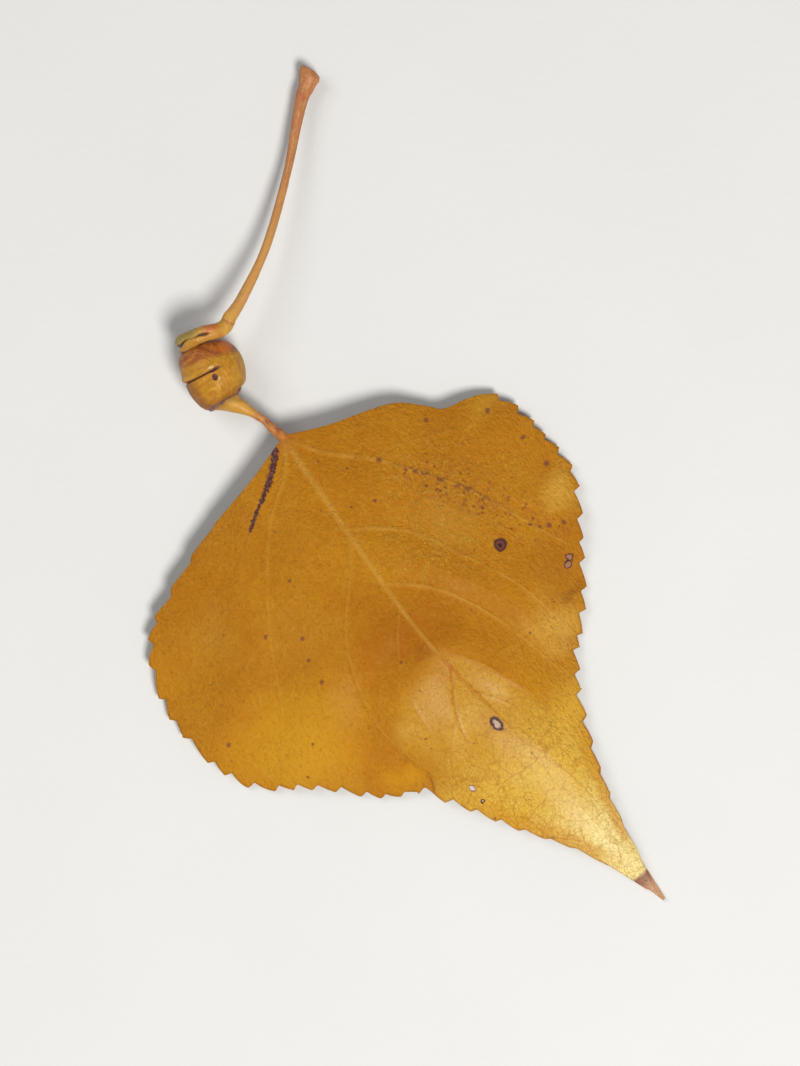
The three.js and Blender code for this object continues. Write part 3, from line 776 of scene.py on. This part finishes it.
def gall_to_ground(x, y, z):
    """Turns places in the gall's own frame, whose y axis runs to the stalk, into places on the ground."""
    cos, sin = math.cos(GALL_TURN), math.sin(GALL_TURN)
    return np.stack([GALL_CENTRE[0] + x * cos - y * sin, GALL_CENTRE[1] + x * sin + y * cos,
                     GALL_CENTRE[2] + z], -1)


BALL_BOTTOM = -4.02
BALL_TOP = 3.56
BALL_RADIUS = 3.6
girth = profile((BALL_BOTTOM, 0.05), (-4.0, 1.0), (-3.94, 1.7), (-3.8, 1.96), (-3.3, 2.5), (-2.7, 3.0),
                (-1.9, 3.42), (-0.9, 3.65), (0.0, 3.67), (1.0, 3.58), (2.0, 3.32), (2.7, 2.98), (3.1, 2.6),
                (3.4, 1.9), (3.52, 1.0), (BALL_TOP, 0.05))
drift = profile((-4.0, -0.78), (-3.0, -0.4), (-2.0, -0.08), (-1.0, 0.04), (0.0, 0.08), (1.5, 0.1), (3.5, 0.1))
GALL_TURNS = 288
GALL_RINGS = 200
turn, ring = np.meshgrid(np.linspace(0, 2 * np.pi, GALL_TURNS + 1), np.linspace(0, 1, GALL_RINGS),
                         indexing="ij")
lathe_heights = np.linspace(BALL_BOTTOM, BALL_TOP, 900)
lathe = np.array([(height, girth(height)) for height in lathe_heights])
lathe = on_line(lathe, ring.ravel()).reshape(*ring.shape, 2)
gall_y, gall_r = lathe[..., 0], lathe[..., 1]

# The seam starts on top, a quarter of the way in from the right, goes left, and comes round under the ball.
SEAM_START = math.radians(62)
upper_half = np.sin(turn) > 0
ball_x = gall_r * np.cos(turn)
FAR_OFF = 9.0
seam_turn = np.mod(turn - SEAM_START, 2 * np.pi)
seam_y = -0.02 + 0.22 * ramp(seam_turn, 0.6, 2.0) - 3.5 * ramp(seam_turn, 2.0, 5.6)
seam_strength = ramp(seam_turn, 0.05, 0.5) * (1 - ramp(seam_turn, 5.3, 6.2))
from_seam = gall_y - seam_y
open_width = 0.1 + 0.02 * ramp(-ball_x, 1.4, 2.8) + 0.07 * ramp(ball_x, 0.0, 0.8)
groove = bell(from_seam, open_width) * seam_strength
lip = bell(from_seam - 0.5, 0.34) * seam_strength
under_lip = bell(from_seam + 0.6, 0.45) * seam_strength
hole_x = ball_x + 0.06
hole = np.hypot(hole_x / 0.34, (gall_y + 0.84) / 0.42)
hole = np.where(upper_half, hole, FAR_OFF)
smear_share = np.clip((hole_x - 0.1) / 0.9, 0, 1)
smear = np.hypot(hole_x - 0.1 - 0.9 * smear_share, gall_y + 0.1 - 0.12 * smear_share)
smear = np.where(upper_half, smear / (0.24 - 0.08 * smear_share), FAR_OFF)
crust = bell(hole - 1.55, 0.42) * ramp(-gall_y - 0.68, 0.1, 0.45) * ramp(hole_x, -0.5, 0.3) * upper_half
base_seam = bell(gall_y + 3.72, 0.2)
rng = np.random.default_rng(7)


def lumps(turn, along, count, sizes):
    """Low random swellings over the ball."""
    total = np.zeros_like(turn)
    for _ in range(count):
        middle_turn, middle = rng.uniform(0, 2 * np.pi), rng.uniform(-3.4, 3.2)
        size = rng.uniform(*sizes)
        gap_turn = (np.mod(turn - middle_turn + np.pi, 2 * np.pi) - np.pi) * BALL_RADIUS
        total += rng.uniform(-1, 1) * bell(np.hypot(gap_turn, along - middle), size)
    return total


gall_r = gall_r * (1 + 0.012 * np.sin(3 * turn + 1.1 * gall_y))
gall_r = gall_r - 0.42 * groove + 0.13 * lip - 0.05 * under_lip
gall_r = gall_r - 0.32 * (1 - ramp(hole, 0.4, 1.05)) + 0.06 * bell(hole - 1.2, 0.25) + 0.07 * crust
gall_r = gall_r - 0.09 * (1 - ramp(smear, 0.4, 1.1))
gall_r = gall_r + 0.05 * lumps(turn, gall_y, 40, (0.5, 1.2)) + 0.012 * lumps(turn, gall_y, 260, (0.14, 0.35))
gall_r = np.maximum(gall_r, 0.02) - 0.12 * base_seam
ball_x = gall_r * np.cos(turn)
gall_x = ball_x + drift(gall_y)
gall_z = np.maximum(gall_r * np.sin(turn), GROUND_GAP - GALL_CENTRE[2])
shoulder_sag = 0.28 * np.cos(turn) * ramp(gall_y, -1.0, 3.0)

on_top = np.sin(turn) > -0.3
ruddy = ramp(gall_y + 0.16 * ball_x, 0.4, 2.2)
russet_cheek = bell(np.hypot(ball_x - 2.6, gall_y - 2.0), 1.1) * on_top
# Painted shade: the ball's left side below the seam, and its lower end towards the cone, are darkened in its
# colour.
shade = ramp(-np.cos(turn), 0.45, 1.0) * (gall_y < seam_y) + ramp(-gall_y, 2.5, 3.7) * 0.8
# Painted shade in the seam's groove and in the exit hole, which is only a dent, together with the smear's own
# stain beside the hole, darkens the ball.
groove_dark = groove * (0.75 + 0.6 * bell(ball_x - 0.1, 1.5))
dark = np.maximum.reduce([groove_dark, 1 - ramp(hole, 0.75, 1.15), 0.75 * (1 - ramp(smear, 0.5, 1.2))])
dark = np.clip(dark, 0, 1)
# Painted highlight along the upper lip of the seam, brightest near the hole and at the left end, together with
# the pale crust round the hole.
glint = bell(ball_x - 0.15, 0.8) + 0.55 * ramp(-ball_x, 1.9, 2.6)
pale = np.clip(bell(from_seam - 0.36, 0.2) * seam_strength * glint * upper_half + 0.85 * crust, 0, 1)

ball = Finish("ochre_gall", Specular_IOR_Level=0.25, Coat_Roughness=0.3, Coat_Weight=0.08)
ball_place = ball.read("place", "Vector")
flow = ball.read("flow", "Vector")
ball_mottle = ball.cloud(ball_place, 1.3, 5.0, 0.6)
ball_grain = ball.cloud(ball_place, 6.0, 3.0, 0.65)
streak = ball.cloud(flow, 1.0, 4.0, 0.55)
ochre = ball.mix(ball.step(ball_mottle, 0.35, 0.68), rgb(0.36, 0.14, 0.005), rgb(0.5, 0.23, 0.01))
ochre = ball.mix(ball.step(streak, 0.45, 0.68) * 0.5, ochre, rgb(0.56, 0.32, 0.03))
ochre = ball.mix(ball.step(1 - streak, 0.52, 0.72) * 0.45, ochre, rgb(0.33, 0.11, 0.01))
# Painted shade on the left side and lower end of the ball.
ochre = ball.mix(ball.read("shade") * 0.75, ochre, rgb(0.2, 0.055, 0.004))
red_brown = ball.mix(ball.step(streak + (ball_mottle - 0.5) * 0.6, 0.4, 0.66), rgb(0.24, 0.045, 0.01),
                     rgb(0.46, 0.14, 0.02))
ruddy_here = ball.step(ball.read("ruddy") + (ball_mottle - 0.5) * 1.1, 0.2, 0.95)
ochre = ball.mix(ruddy_here * 0.85, ochre, red_brown)
ochre = ball.mix(ball.step(ball.read("russet_cheek") + (ball_mottle - 0.5) * 0.5, 0.25, 0.8) * 0.7, ochre,
                 rgb(0.52, 0.13, 0.008))
freckle = 1 - ball.step(ball.cells(ball_place, 1.5, "F1"), 0.05, 0.14)
ochre = ball.mix(freckle * ball.step(ball.cloud(ball_place, 0.9, 1.0), 0.45, 0.55) * 0.5, ochre,
                 rgb(0.2, 0.06, 0.02))
# The painted shade of the groove and the hole, and the smear's stain, take a dark grainy colour.
stain_and_shade_colour = ball.mix(ball.step(ball_grain, 0.45, 0.68), rgb(0.09, 0.03, 0.035), rgb(0.3, 0.17, 0.15))
ochre = ball.mix(ball.step(ball.read("dark") + (ball_grain - 0.5) * 0.5, 0.25, 0.7), ochre, stain_and_shade_colour)
# The painted lip highlight and the pale crust round the hole.
ochre = ball.mix(ball.step(ball.read("pale") + (ball_grain - 0.5) * 1.8, 0.5, 0.95) * 0.75, ochre,
                 rgb(0.72, 0.5, 0.24))
seam_crust = ball.step(ball.read("base_seam") + (ball_grain - 0.5) * 0.5, 0.3, 0.6)
ochre = ball.mix(seam_crust * 0.9, ochre, ball.mix(ball.step(ball_grain, 0.5, 0.72), rgb(0.12, 0.05, 0.045),
                                                   rgb(0.42, 0.27, 0.22)))
ball_glint = ball.step(ball.cloud(ball_place, 2.6, 4.0, 0.7), 0.56, 0.68)
ochre = ball.mix(ball_glint * 0.3, ochre, rgb(0.62, 0.36, 0.05))
ball.dress(ochre, 0.4 + ball_mottle * 0.14 + ball.read("dark") * 0.2,
           ball_mottle * 0.18 + streak * 0.14 + ball_grain * 0.07 + ball_glint * 0.04)


def wrap_chart(turns, along):
    """A chart of a round piece: once round goes across it."""
    return np.stack([0.02 + 0.96 * along / along.max(), 0.02 + 0.96 * turns / (2 * np.pi)], -1)


ball_points = gall_to_ground(gall_x, gall_y - shoulder_sag, gall_z).reshape(-1, 3)
sway_flow = ramp(np.cos(turn), -0.2, 0.7)
flow_lines = np.stack([
    (turn * BALL_RADIUS * 2.2) * sway_flow + gall_y * 2.2 * (1 - sway_flow),
    gall_y * 0.35 * sway_flow + turn * 1.2 * (1 - sway_flow), 0 * turn], -1)
gall_body = make_piece(
    "gall_coils", ball_points, grid_faces(GALL_TURNS + 1, GALL_RINGS)[:, ::-1], ball, "gall",
    wrap_chart(turn.ravel(), ring.ravel()),
    place=np.stack([gall_x, gall_y, gall_z], -1).reshape(-1, 3), flow=flow_lines.reshape(-1, 3),
    ruddy=ruddy.ravel(), russet_cheek=russet_cheek.ravel(), shade=np.clip(shade, 0, 1).ravel(),
    dark=dark.ravel(), pale=pale.ravel(), base_seam=base_seam.ravel(),
)
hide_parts("gall_middle_coil", "gall_lower_coil")

# ---- Cone and neck ----
# Under the ball the gall closes in a cone, which thins into the neck: a slender stretch of stalk that widens
# again where it grows into the blade and becomes its midrib.


def tube_points(line, radii, sides, tangents=None):
    """Points round a line, one ring after another, and how far round each of them is."""
    tangents = headings(line) if tangents is None else tangents
    side = np.cross(tangents[0], (0.0, 0.0, 1.0))
    sides_at, ups = [], []
    for tangent in tangents:
        side = side - tangent * np.dot(side, tangent)
        side = side / np.linalg.norm(side)
        sides_at.append(side)
        ups.append(np.cross(side, tangent))
    sides_at, ups = np.array(sides_at)[:, None], np.array(ups)[:, None]
    turns = np.linspace(0, 2 * np.pi, sides + 1)[None, :, None]
    width = radii[:, None, None]
    rings = line[:, None] + (sides_at * np.cos(turns) + ups * np.sin(turns)) * width
    return rings, np.broadcast_to(turns[..., 0], rings.shape[:2])


cone_line = gall_to_ground(*np.array([(-0.62, -3.4, 0), (-0.5, -3.8, 0), (-0.12, -4.2, 0), (0.61, -4.94, 0.0),
                                      (1.09, -5.5, 0.03), (1.8, -6.54, 0.06), (2.08, -7.1, 0.08)], float).T)
neck_line = np.array([(-16.61, 7.73, 3.7), (-15.71, 6.83, 3.75), (-14.86, 6.18, 3.75)])
base_u = np.array([0.3, 1.2, 2.3])
base_sink = np.array([0.5, 0.8, 1.1])
neck_end = leaf_to_ground(base_u, midrib_sway(base_u), sheet_height(base_u, midrib_sway(base_u)) - base_sink)
neck_path = smooth_line(np.concatenate([cone_line, neck_line, neck_end]), 400)
neck_length = line_lengths(neck_path)[-1]
NECK_RINGS = 150
neck_share = np.linspace(0, 1, NECK_RINGS) ** 1.15
neck_path = on_line(neck_path, neck_share)
neck_way = neck_share * neck_length
neck_girth = profile((0, 1.95), (0.41, 1.86), (0.96, 1.5), (2.0, 1.08), (2.74, 0.78), (3.28, 0.62),
                     (4.0, 0.51), (5.4, 0.46), (6.7, 0.52), (7.8, 0.6), (8.7, 0.56), (9.7, 0.42),
                     (10.9, 0.25))
down_gall = gall_to_ground(0, -1, 0) - GALL_CENTRE
turned = ramp(neck_way, 1.2, 4.2)[:, None]
neck_heading = (1 - turned) * down_gall + turned * headings(neck_path)
neck_heading /= np.linalg.norm(neck_heading, axis=1, keepdims=True)
NECK_SIDES = 72
neck_rings, neck_turn = tube_points(neck_path, neck_girth(neck_way), NECK_SIDES, neck_heading)
neck_noise = np.random.default_rng(11)
wrinkle = sum(neck_noise.uniform(0.2, 1) * np.sin(neck_way[:, None] * k * 0.9 + neck_turn * (k % 3) + k)
              for k in range(2, 9))
neck_rings += 0.008 * (neck_rings - neck_path[:, None]) * wrinkle[..., None]

neck_finish = Finish("tan_neck", Specular_IOR_Level=0.4, Coat_Roughness=0.35, Coat_Weight=0.08)
neck_place = neck_finish.read("place", "Vector")
neck_along = neck_finish.node("ShaderNodeSeparateXYZ", {}, {0: neck_place}, output=0)
neck_streak = neck_finish.cloud(neck_finish.scaled(neck_place, (0.5, 2.2, 2.2)), 1.2, 4.0)
neck_grain = neck_finish.cloud(neck_place, 5.0, 3.0)
neck_colour = neck_finish.mix(neck_finish.step(neck_along, 0.2, 1.8), rgb(0.3, 0.15, 0.012),
                              rgb(0.48, 0.24, 0.025))
neck_colour = neck_finish.mix(neck_finish.step(neck_along, 3.0, 5.5), neck_colour, rgb(0.4, 0.15, 0.035))
neck_colour = neck_finish.mix(neck_finish.step(neck_along, 7.0, 8.4), neck_colour, rgb(0.4, 0.13, 0.008))
neck_light = neck_finish.step(neck_streak, 0.45, 0.65) * (1 - neck_finish.step(neck_along, 6.8, 7.8)) * 0.35
neck_colour = neck_finish.mix(neck_light, neck_colour, rgb(0.56, 0.28, 0.06))
blotch_here = neck_finish.step(neck_along, 4.0, 5.0) * (1 - neck_finish.step(neck_along, 7.4, 8.2))
neck_blotch = neck_finish.step(neck_finish.cloud(neck_place, 1.1, 4.0), 0.48, 0.6) * blotch_here
neck_colour = neck_finish.mix(neck_blotch * 0.75, neck_colour, rgb(0.2, 0.05, 0.025))
neck_crust = (1 - neck_finish.step(neck_along, 0.15, 0.5)) * neck_finish.step(neck_grain, 0.35, 0.55)
neck_colour = neck_finish.mix(neck_crust, neck_colour, rgb(0.16, 0.07, 0.06))
neck_finish.dress(neck_colour, 0.46 + neck_streak * 0.12, neck_streak * 0.08 + neck_grain * 0.03)
round_place = np.stack([np.broadcast_to(neck_way[:, None], neck_turn.shape), np.cos(neck_turn),
                        np.sin(neck_turn)], -1)
neck_piece = make_piece(
    "gall_cone_and_neck", neck_rings.reshape(-1, 3), grid_faces(len(neck_path), NECK_SIDES + 1), neck_finish,
    "stalk", wrap_chart(neck_turn.ravel(), np.repeat(neck_way, NECK_SIDES + 1)),
    place=round_place.reshape(-1, 3),
)
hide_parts("gall_cone", "stalk_neck")

# ---- Stalk and top coil ----
# The stalk is a long slender limb that ends in a flared, slanting foot, where it let go of its twig. At its
# lower end it bends over the gall and lies on it as one more turn, flattened and split along its back.
foot_middle = np.mean(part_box("stalk_foot"), axis=0) / MM
foot_and_stalk = np.array([(0.17, 1.58, 0.0), (0.0, 0.78, 0.05), (-0.2, -0.02, 0.1), (-0.75, -1.42, 0.3),
                           (-1.32, -4.12, 0.5), (-2.56, -10.62, 1.1), (-4.86, -18.92, 2.2),
                           (-7.56, -24.92, 3.3), (-9.1, -27.42, 3.75)]) + foot_middle
coil_turns = np.radians([50, 66, 86, 110, 135, 160, 190, 220, 255, 285])
coil_x = 1.1 + 2.5 * np.cos(coil_turns)
coil_y = profile((-1.4, 4.46), (0.9, 4.28), (2.3, 3.93), (3.6, 3.6))(coil_x)
coil_y = coil_y - 0.5 * ramp(coil_turns, 3.3, 5.6)
coil_z = 2.35 * np.sin(coil_turns)
coil_line = gall_to_ground(coil_x, coil_y, coil_z)
elbow = gall_to_ground(np.array([3.9]), np.array([3.8]), np.array([1.3]))
stalk_path = smooth_line(np.concatenate([foot_and_stalk, elbow, coil_line]), 2400)
stalk_length = line_lengths(stalk_path)[-1]
STALK_RINGS = 620
stalk_share = np.linspace(0, 1, STALK_RINGS)
stalk_path = on_line(stalk_path, stalk_share)
way = stalk_share * stalk_length
coil_start = way[np.argmin(np.linalg.norm(stalk_path - elbow[0], axis=1))]
from_coil = way - coil_start
# The bend over the gall is eased, so that the stalk never turns tighter than its own thickness.
EASE_RINGS = 9
EASE_LENGTH = 2.4
window = np.ones(2 * EASE_RINGS + 1) / (2 * EASE_RINGS + 1)
eased = np.stack([np.convolve(np.pad(line, EASE_RINGS, "edge"), window, "valid")
                  for line in stalk_path.T], -1)
bend = bell(from_coil, EASE_LENGTH)[:, None]
stalk_path = stalk_path * (1 - bend) + eased * bend
foot_girth = profile((0, 1.12), (0.6, 1.2), (1.4, 1.02), (2.6, 0.84), (4.5, 0.71), (8, 0.57), (12, 0.48),
                     (16, 0.5), (24, 0.52), (30, 0.54))
coil_girth = profile((-6, 0.6), (-3.0, 0.68), (-1.2, 0.8), (0.0, 0.87), (1.0, 0.9), (2.5, 0.92), (4.5, 0.98),
                     (6.5, 1.02), (8.5, 0.95), (11, 0.85), (15, 0.7), (18, 0.4))
blend = ramp(from_coil, -9, -5)
stalk_radius = foot_girth(way) * (1 - blend) + coil_girth(from_coil) * blend
STALK_SIDES = 64
stalk_rings, stalk_turn = tube_points(stalk_path, stalk_radius, STALK_SIDES)

# The split follows the side of the coil that faces away from the ball's axis.
coil_axis_point = gall_to_ground(np.array([1.1]), np.array([4.5]), np.array([0.0]))[0]
outward = stalk_rings - stalk_path[:, None]
gall_up = gall_to_ground(np.array([0.0]), np.array([1.0]), np.array([0.0]))[0] - GALL_CENTRE
radial = stalk_path - coil_axis_point
radial -= gall_up * (radial @ gall_up)[:, None]
radial /= np.linalg.norm(radial, axis=1, keepdims=True)
sideways = outward @ gall_up
facing = np.einsum("rsk,rk->rs", outward, radial)
split_open = ramp(from_coil, 1.9, 2.8) * (1 - ramp(from_coil, 12, 14))
split_sway = 0.1 * np.sin(from_coil * 1.7)[:, None] + 0.05 * np.sin(from_coil * 4.3)[:, None]
split_width = 0.08 + 0.12 * bell(from_coil - 3.0, 0.6) + 0.12 * ramp(from_coil, 4.4, 6.5)
split_depth = 0.5 + 0.5 * bell(from_coil - 3.0, 0.8) + 0.5 * ramp(from_coil, 4.2, 5.5)
split = (bell(sideways - split_sway, split_width[:, None]) * (facing > 0)
         * (split_open * np.minimum(split_depth, 1))[:, None])
spread = (np.tanh(sideways / 0.25)[..., None] * gall_up
          * (0.14 * ramp(from_coil, 4, 7) * split_open)[:, None, None])
SPLIT_DEPTH = 0.45
FOOT_LENGTH = 1.6
FOOT_SLANT = 0.42
stalk_rings = stalk_rings - SPLIT_DEPTH * split[..., None] * radial[:, None] + spread
slant = np.clip(1 - way / FOOT_LENGTH, 0, 1)[:, None]
stalk_rings = stalk_rings + slant[..., None] * np.array([0.0, -FOOT_SLANT, 0.0]) * outward[..., :1]
ring_noise = np.random.default_rng(5)
crease = sum(ring_noise.uniform(0.2, 1) * np.sin(way[:, None] * k * 0.55 + stalk_turn * (k % 4) + 2.1 * k)
             for k in range(2, 12))
stalk_rings = stalk_rings + 0.009 * outward * crease[..., None]
wrinkles = bell(from_coil + 0.5, 0.16) + 0.7 * bell(from_coil + 1.1, 0.14) + 0.5 * bell(from_coil - 0.4, 0.2)
stalk_rings = stalk_rings - 0.035 * outward * wrinkles[:, None, None]


CAP_TURNS = np.radians([18, 36, 54, 70, 82, 89])
CAP_BULGE = 0.3
CAPS = len(CAP_TURNS)


def close_end(rings, flip):
    """Domes the end of a tube with a few shrinking rings, which carry on its grid."""
    edge = rings[0] if flip else rings[-1]
    inner = rings[1] if flip else rings[-2]
    middle = edge.mean(0)
    way_out = (middle - inner.mean(0)) / np.linalg.norm(middle - inner.mean(0))
    caps = [middle + (edge - middle) * math.cos(cap_turn) + way_out * CAP_BULGE * math.sin(cap_turn)
            for cap_turn in CAP_TURNS]
    return np.concatenate([np.array(caps[::-1]), rings]) if flip else np.concatenate([rings, np.array(caps)])


def carry_on(values, share):
    """Carries values on over the closing rings at both ends, at a share of what they are at the end."""
    start, end = np.repeat(values[:1], CAPS, 0), np.repeat(values[-1:], CAPS, 0)
    return np.concatenate([start * share, values, end * share])


stalk_rings = close_end(close_end(stalk_rings, True), False)
way_all = np.concatenate([np.linspace(-0.9, -0.1, CAPS), way, way[-1] + np.linspace(0.1, 0.6, CAPS)])
split_all = carry_on(split, 0)
turn_all = np.broadcast_to(np.linspace(0, 2 * np.pi, STALK_SIDES + 1)[None], split_all.shape)
side_all = carry_on(sideways, 1)

stem = Finish("tan_stalk", Specular_IOR_Level=0.4, Coat_Roughness=0.35, Coat_Weight=0.08)
coil = Finish("russet_top_coil", Specular_IOR_Level=0.4, Coat_Roughness=0.35, Coat_Weight=0.08)


def dress_stalk(finish):
    """Tan and pinkish brown, streaked lengthwise, then golden and red at the coil, olive by its split, with
    painted shade in the split.
    """
    spot = finish.read("place", "Vector")
    distance = finish.read("from_coil")
    streaks = finish.cloud(finish.scaled(spot, (0.35, 2.4, 2.4)), 1.2, 5.0, 0.6)
    blotches = finish.cloud(spot, 0.5, 4.0, 0.6)
    fine = finish.cloud(spot, 4.5, 3.0, 0.6)
    tan = finish.mix(finish.step(streaks, 0.36, 0.66), rgb(0.34, 0.12, 0.035), rgb(0.47, 0.21, 0.065))
    tan = finish.mix(finish.step(blotches, 0.5, 0.66) * 0.5, tan, rgb(0.4, 0.125, 0.035))
    tan = finish.mix(finish.step(fine, 0.52, 0.66) * 0.35, tan, rgb(0.56, 0.27, 0.08))
    tan = finish.mix(finish.step(1 - fine, 0.52, 0.66) * 0.4, tan, rgb(0.25, 0.075, 0.02))
    tan = finish.mix(finish.step(distance, -24.0, -6.0) * 0.65, tan, rgb(0.5, 0.26, 0.05))
    tan = finish.mix((1 - finish.step(distance, -46.0, -43.0)) * 0.7, tan, rgb(0.4, 0.19, 0.04))
    foot_red = 1 - finish.step(finish.apart(finish.shaken(spot, 1.2, 1.0), (3.3, -0.2, 0.9)), 0.2, 0.65)
    tan = finish.mix(foot_red * 0.6, tan, rgb(0.33, 0.055, 0.02))
    golden = finish.mix(finish.step(blotches, 0.4, 0.62), rgb(0.45, 0.22, 0.022), rgb(0.54, 0.29, 0.04))
    tan = finish.mix(finish.step(distance, -2.5, -0.6), tan, golden)
    ring_line = 1 - finish.step(abs(distance + 0.6 + (fine - 0.5) * 0.6), 0.06, 0.24)
    tan = finish.mix(ring_line * 0.6, tan, rgb(0.26, 0.07, 0.02))
    red_patch = finish.step(distance, 0.7, 1.5) * (1 - finish.step(distance, 2.5, 3.3))
    tan = finish.mix(red_patch * finish.step(blotches + (fine - 0.5) * 0.5, 0.36, 0.54) * 0.85, tan,
                     rgb(0.45, 0.085, 0.02))
    olive = finish.mix(finish.step(finish.read("sideways"), -0.15, 0.3), rgb(0.36, 0.16, 0.015),
                       rgb(0.24, 0.17, 0.03))
    tan = finish.mix(finish.step(distance, 2.6, 4.2) * 0.9, tan, olive)
    low_edge = finish.step(distance, 4.6, 6.0) * (1 - finish.step(finish.read("sideways"), -0.82, -0.66))
    tan = finish.mix(low_edge * finish.step(fine, 0.35, 0.5) * 0.8, tan, rgb(0.55, 0.45, 0.34))
    near_pit = 1 - finish.step(abs(distance - 3.1), 0.5, 1.6)
    pale_bits = finish.step(fine, 0.55, 0.66) * (near_pit * 0.6 + finish.step(distance, 4.0, 5.5) * 0.5)
    tan = finish.mix(pale_bits, tan, rgb(0.62, 0.46, 0.2))
    # Painted shade: the split along the coil's back, which is only a shallow groove, is drawn nearly black.
    dark_split = finish.step(finish.read("split") + (fine - 0.5) * 0.7, 0.3, 0.75)
    tan = finish.mix(dark_split * 0.95, tan, rgb(0.05, 0.016, 0.014))
    scar_end = 1 - finish.step(finish.read("way"), -0.75, -0.3)
    tan = finish.mix(scar_end * 0.7, tan, rgb(0.3, 0.13, 0.04))
    finish.dress(tan, 0.5 + streaks * 0.12, streaks * 0.07 + fine * 0.03 + blotches * 0.05)


dress_stalk(stem)
dress_stalk(coil)
PAST_ELBOW = 0.3
joint = int(np.searchsorted(way_all, coil_start + PAST_ELBOW))
coil_place = np.stack([np.broadcast_to(way_all[:, None], turn_all.shape), np.cos(turn_all),
                       np.sin(turn_all)], -1)
for name, part, finish, slot, nodes in (
    ("stalk_and_foot", slice(0, joint + 1), stem, "stalk", ("stalk_foot", "stalk_upper")),
    ("gall_top_turn", slice(joint, None), coil, "gall", ("gall_top_coil",)),
):
    rings = stalk_rings[part]
    count = len(rings)
    travel = way_all[part]
    piece = make_piece(
        name, rings.reshape(-1, 3), grid_faces(count, STALK_SIDES + 1), finish, slot,
        wrap_chart(turn_all[part].ravel(), np.repeat(travel - travel[0], STALK_SIDES + 1)),
        place=coil_place[part].reshape(-1, 3), way=np.repeat(travel, STALK_SIDES + 1),
        from_coil=np.repeat(travel - coil_start, STALK_SIDES + 1), split=split_all[part].ravel(),
        sideways=side_all[part].ravel(),
    )
    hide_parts(*nodes)

# ---- Floor, lights and camera ----
# The leaf lies on a pale matt floor. One soft lamp, high beyond its tip, gives the waxy sheen. A wide weak one
# on the other side and a dim pale room fill the shadows. The camera looks straight down.
FLOOR = 1.5
floor_mesh = bpy.data.meshes.new("floor")
floor_mesh.from_pydata([(-FLOOR, -FLOOR, 0), (FLOOR, -FLOOR, 0), (FLOOR, FLOOR, 0), (-FLOOR, FLOOR, 0)], [],
                       [(0, 1, 2, 3)])
floor = bpy.data.objects.new("floor", floor_mesh)
bpy.context.scene.collection.objects.link(floor)
paper = Finish("pale_floor", Specular_IOR_Level=0.1)
paper_place = paper.node("ShaderNodeTexCoord", {}, output="Object")
paper.dress(paper.mix(paper.cloud(paper_place, 40.0), rgb(0.6, 0.595, 0.58), rgb(0.63, 0.625, 0.61)), 0.9,
            paper.cloud(paper_place, 900.0), 0.05)
floor_mesh.materials.append(paper.material)


def soft_lamp(name, place, size, power, colour=(1, 1, 1)):
    light = bpy.data.lights.new(name, "AREA")
    light.shape = "DISK"
    light.size = size
    light.energy = power
    light.color = colour
    lamp = bpy.data.objects.new(name, light)
    lamp.location = place
    lamp.rotation_euler = (-Vector(place)).to_track_quat("-Z", "Y").to_euler()
    bpy.context.scene.collection.objects.link(lamp)


soft_lamp("key_lamp", (0.19, -0.28, 0.6), 0.26, 5.15, (1.0, 0.98, 0.95))
soft_lamp("fill_lamp", (-0.5, 0.3, 0.6), 0.5, 2.4)
world = bpy.data.worlds.new("pale_room")
world.use_nodes = True
world.node_tree.nodes["Background"].inputs["Color"].default_value = (0.94, 0.96, 1.0, 1.0)
world.node_tree.nodes["Background"].inputs["Strength"].default_value = 0.25
bpy.context.scene.world = world
bpy.context.scene.view_settings.view_transform = "Standard"

CAMERA_HEIGHT = 0.42
LEAF_LEVEL = 0.004
VIEW_HEIGHT = 0.12366
VIEW_CENTRE = (-0.00085, -0.00536)
lens = bpy.data.cameras.new("camera")
lens.sensor_fit = "VERTICAL"
lens.sensor_height = 24.0
lens.lens = lens.sensor_height * (CAMERA_HEIGHT - LEAF_LEVEL) / VIEW_HEIGHT
lens.clip_start = 0.005
lens.clip_end = 10.0
camera = bpy.data.objects.new("camera", lens)
camera.location = (VIEW_CENTRE[0], VIEW_CENTRE[1], CAMERA_HEIGHT)
bpy.context.scene.collection.objects.link(camera)
bpy.context.scene.camera = camera
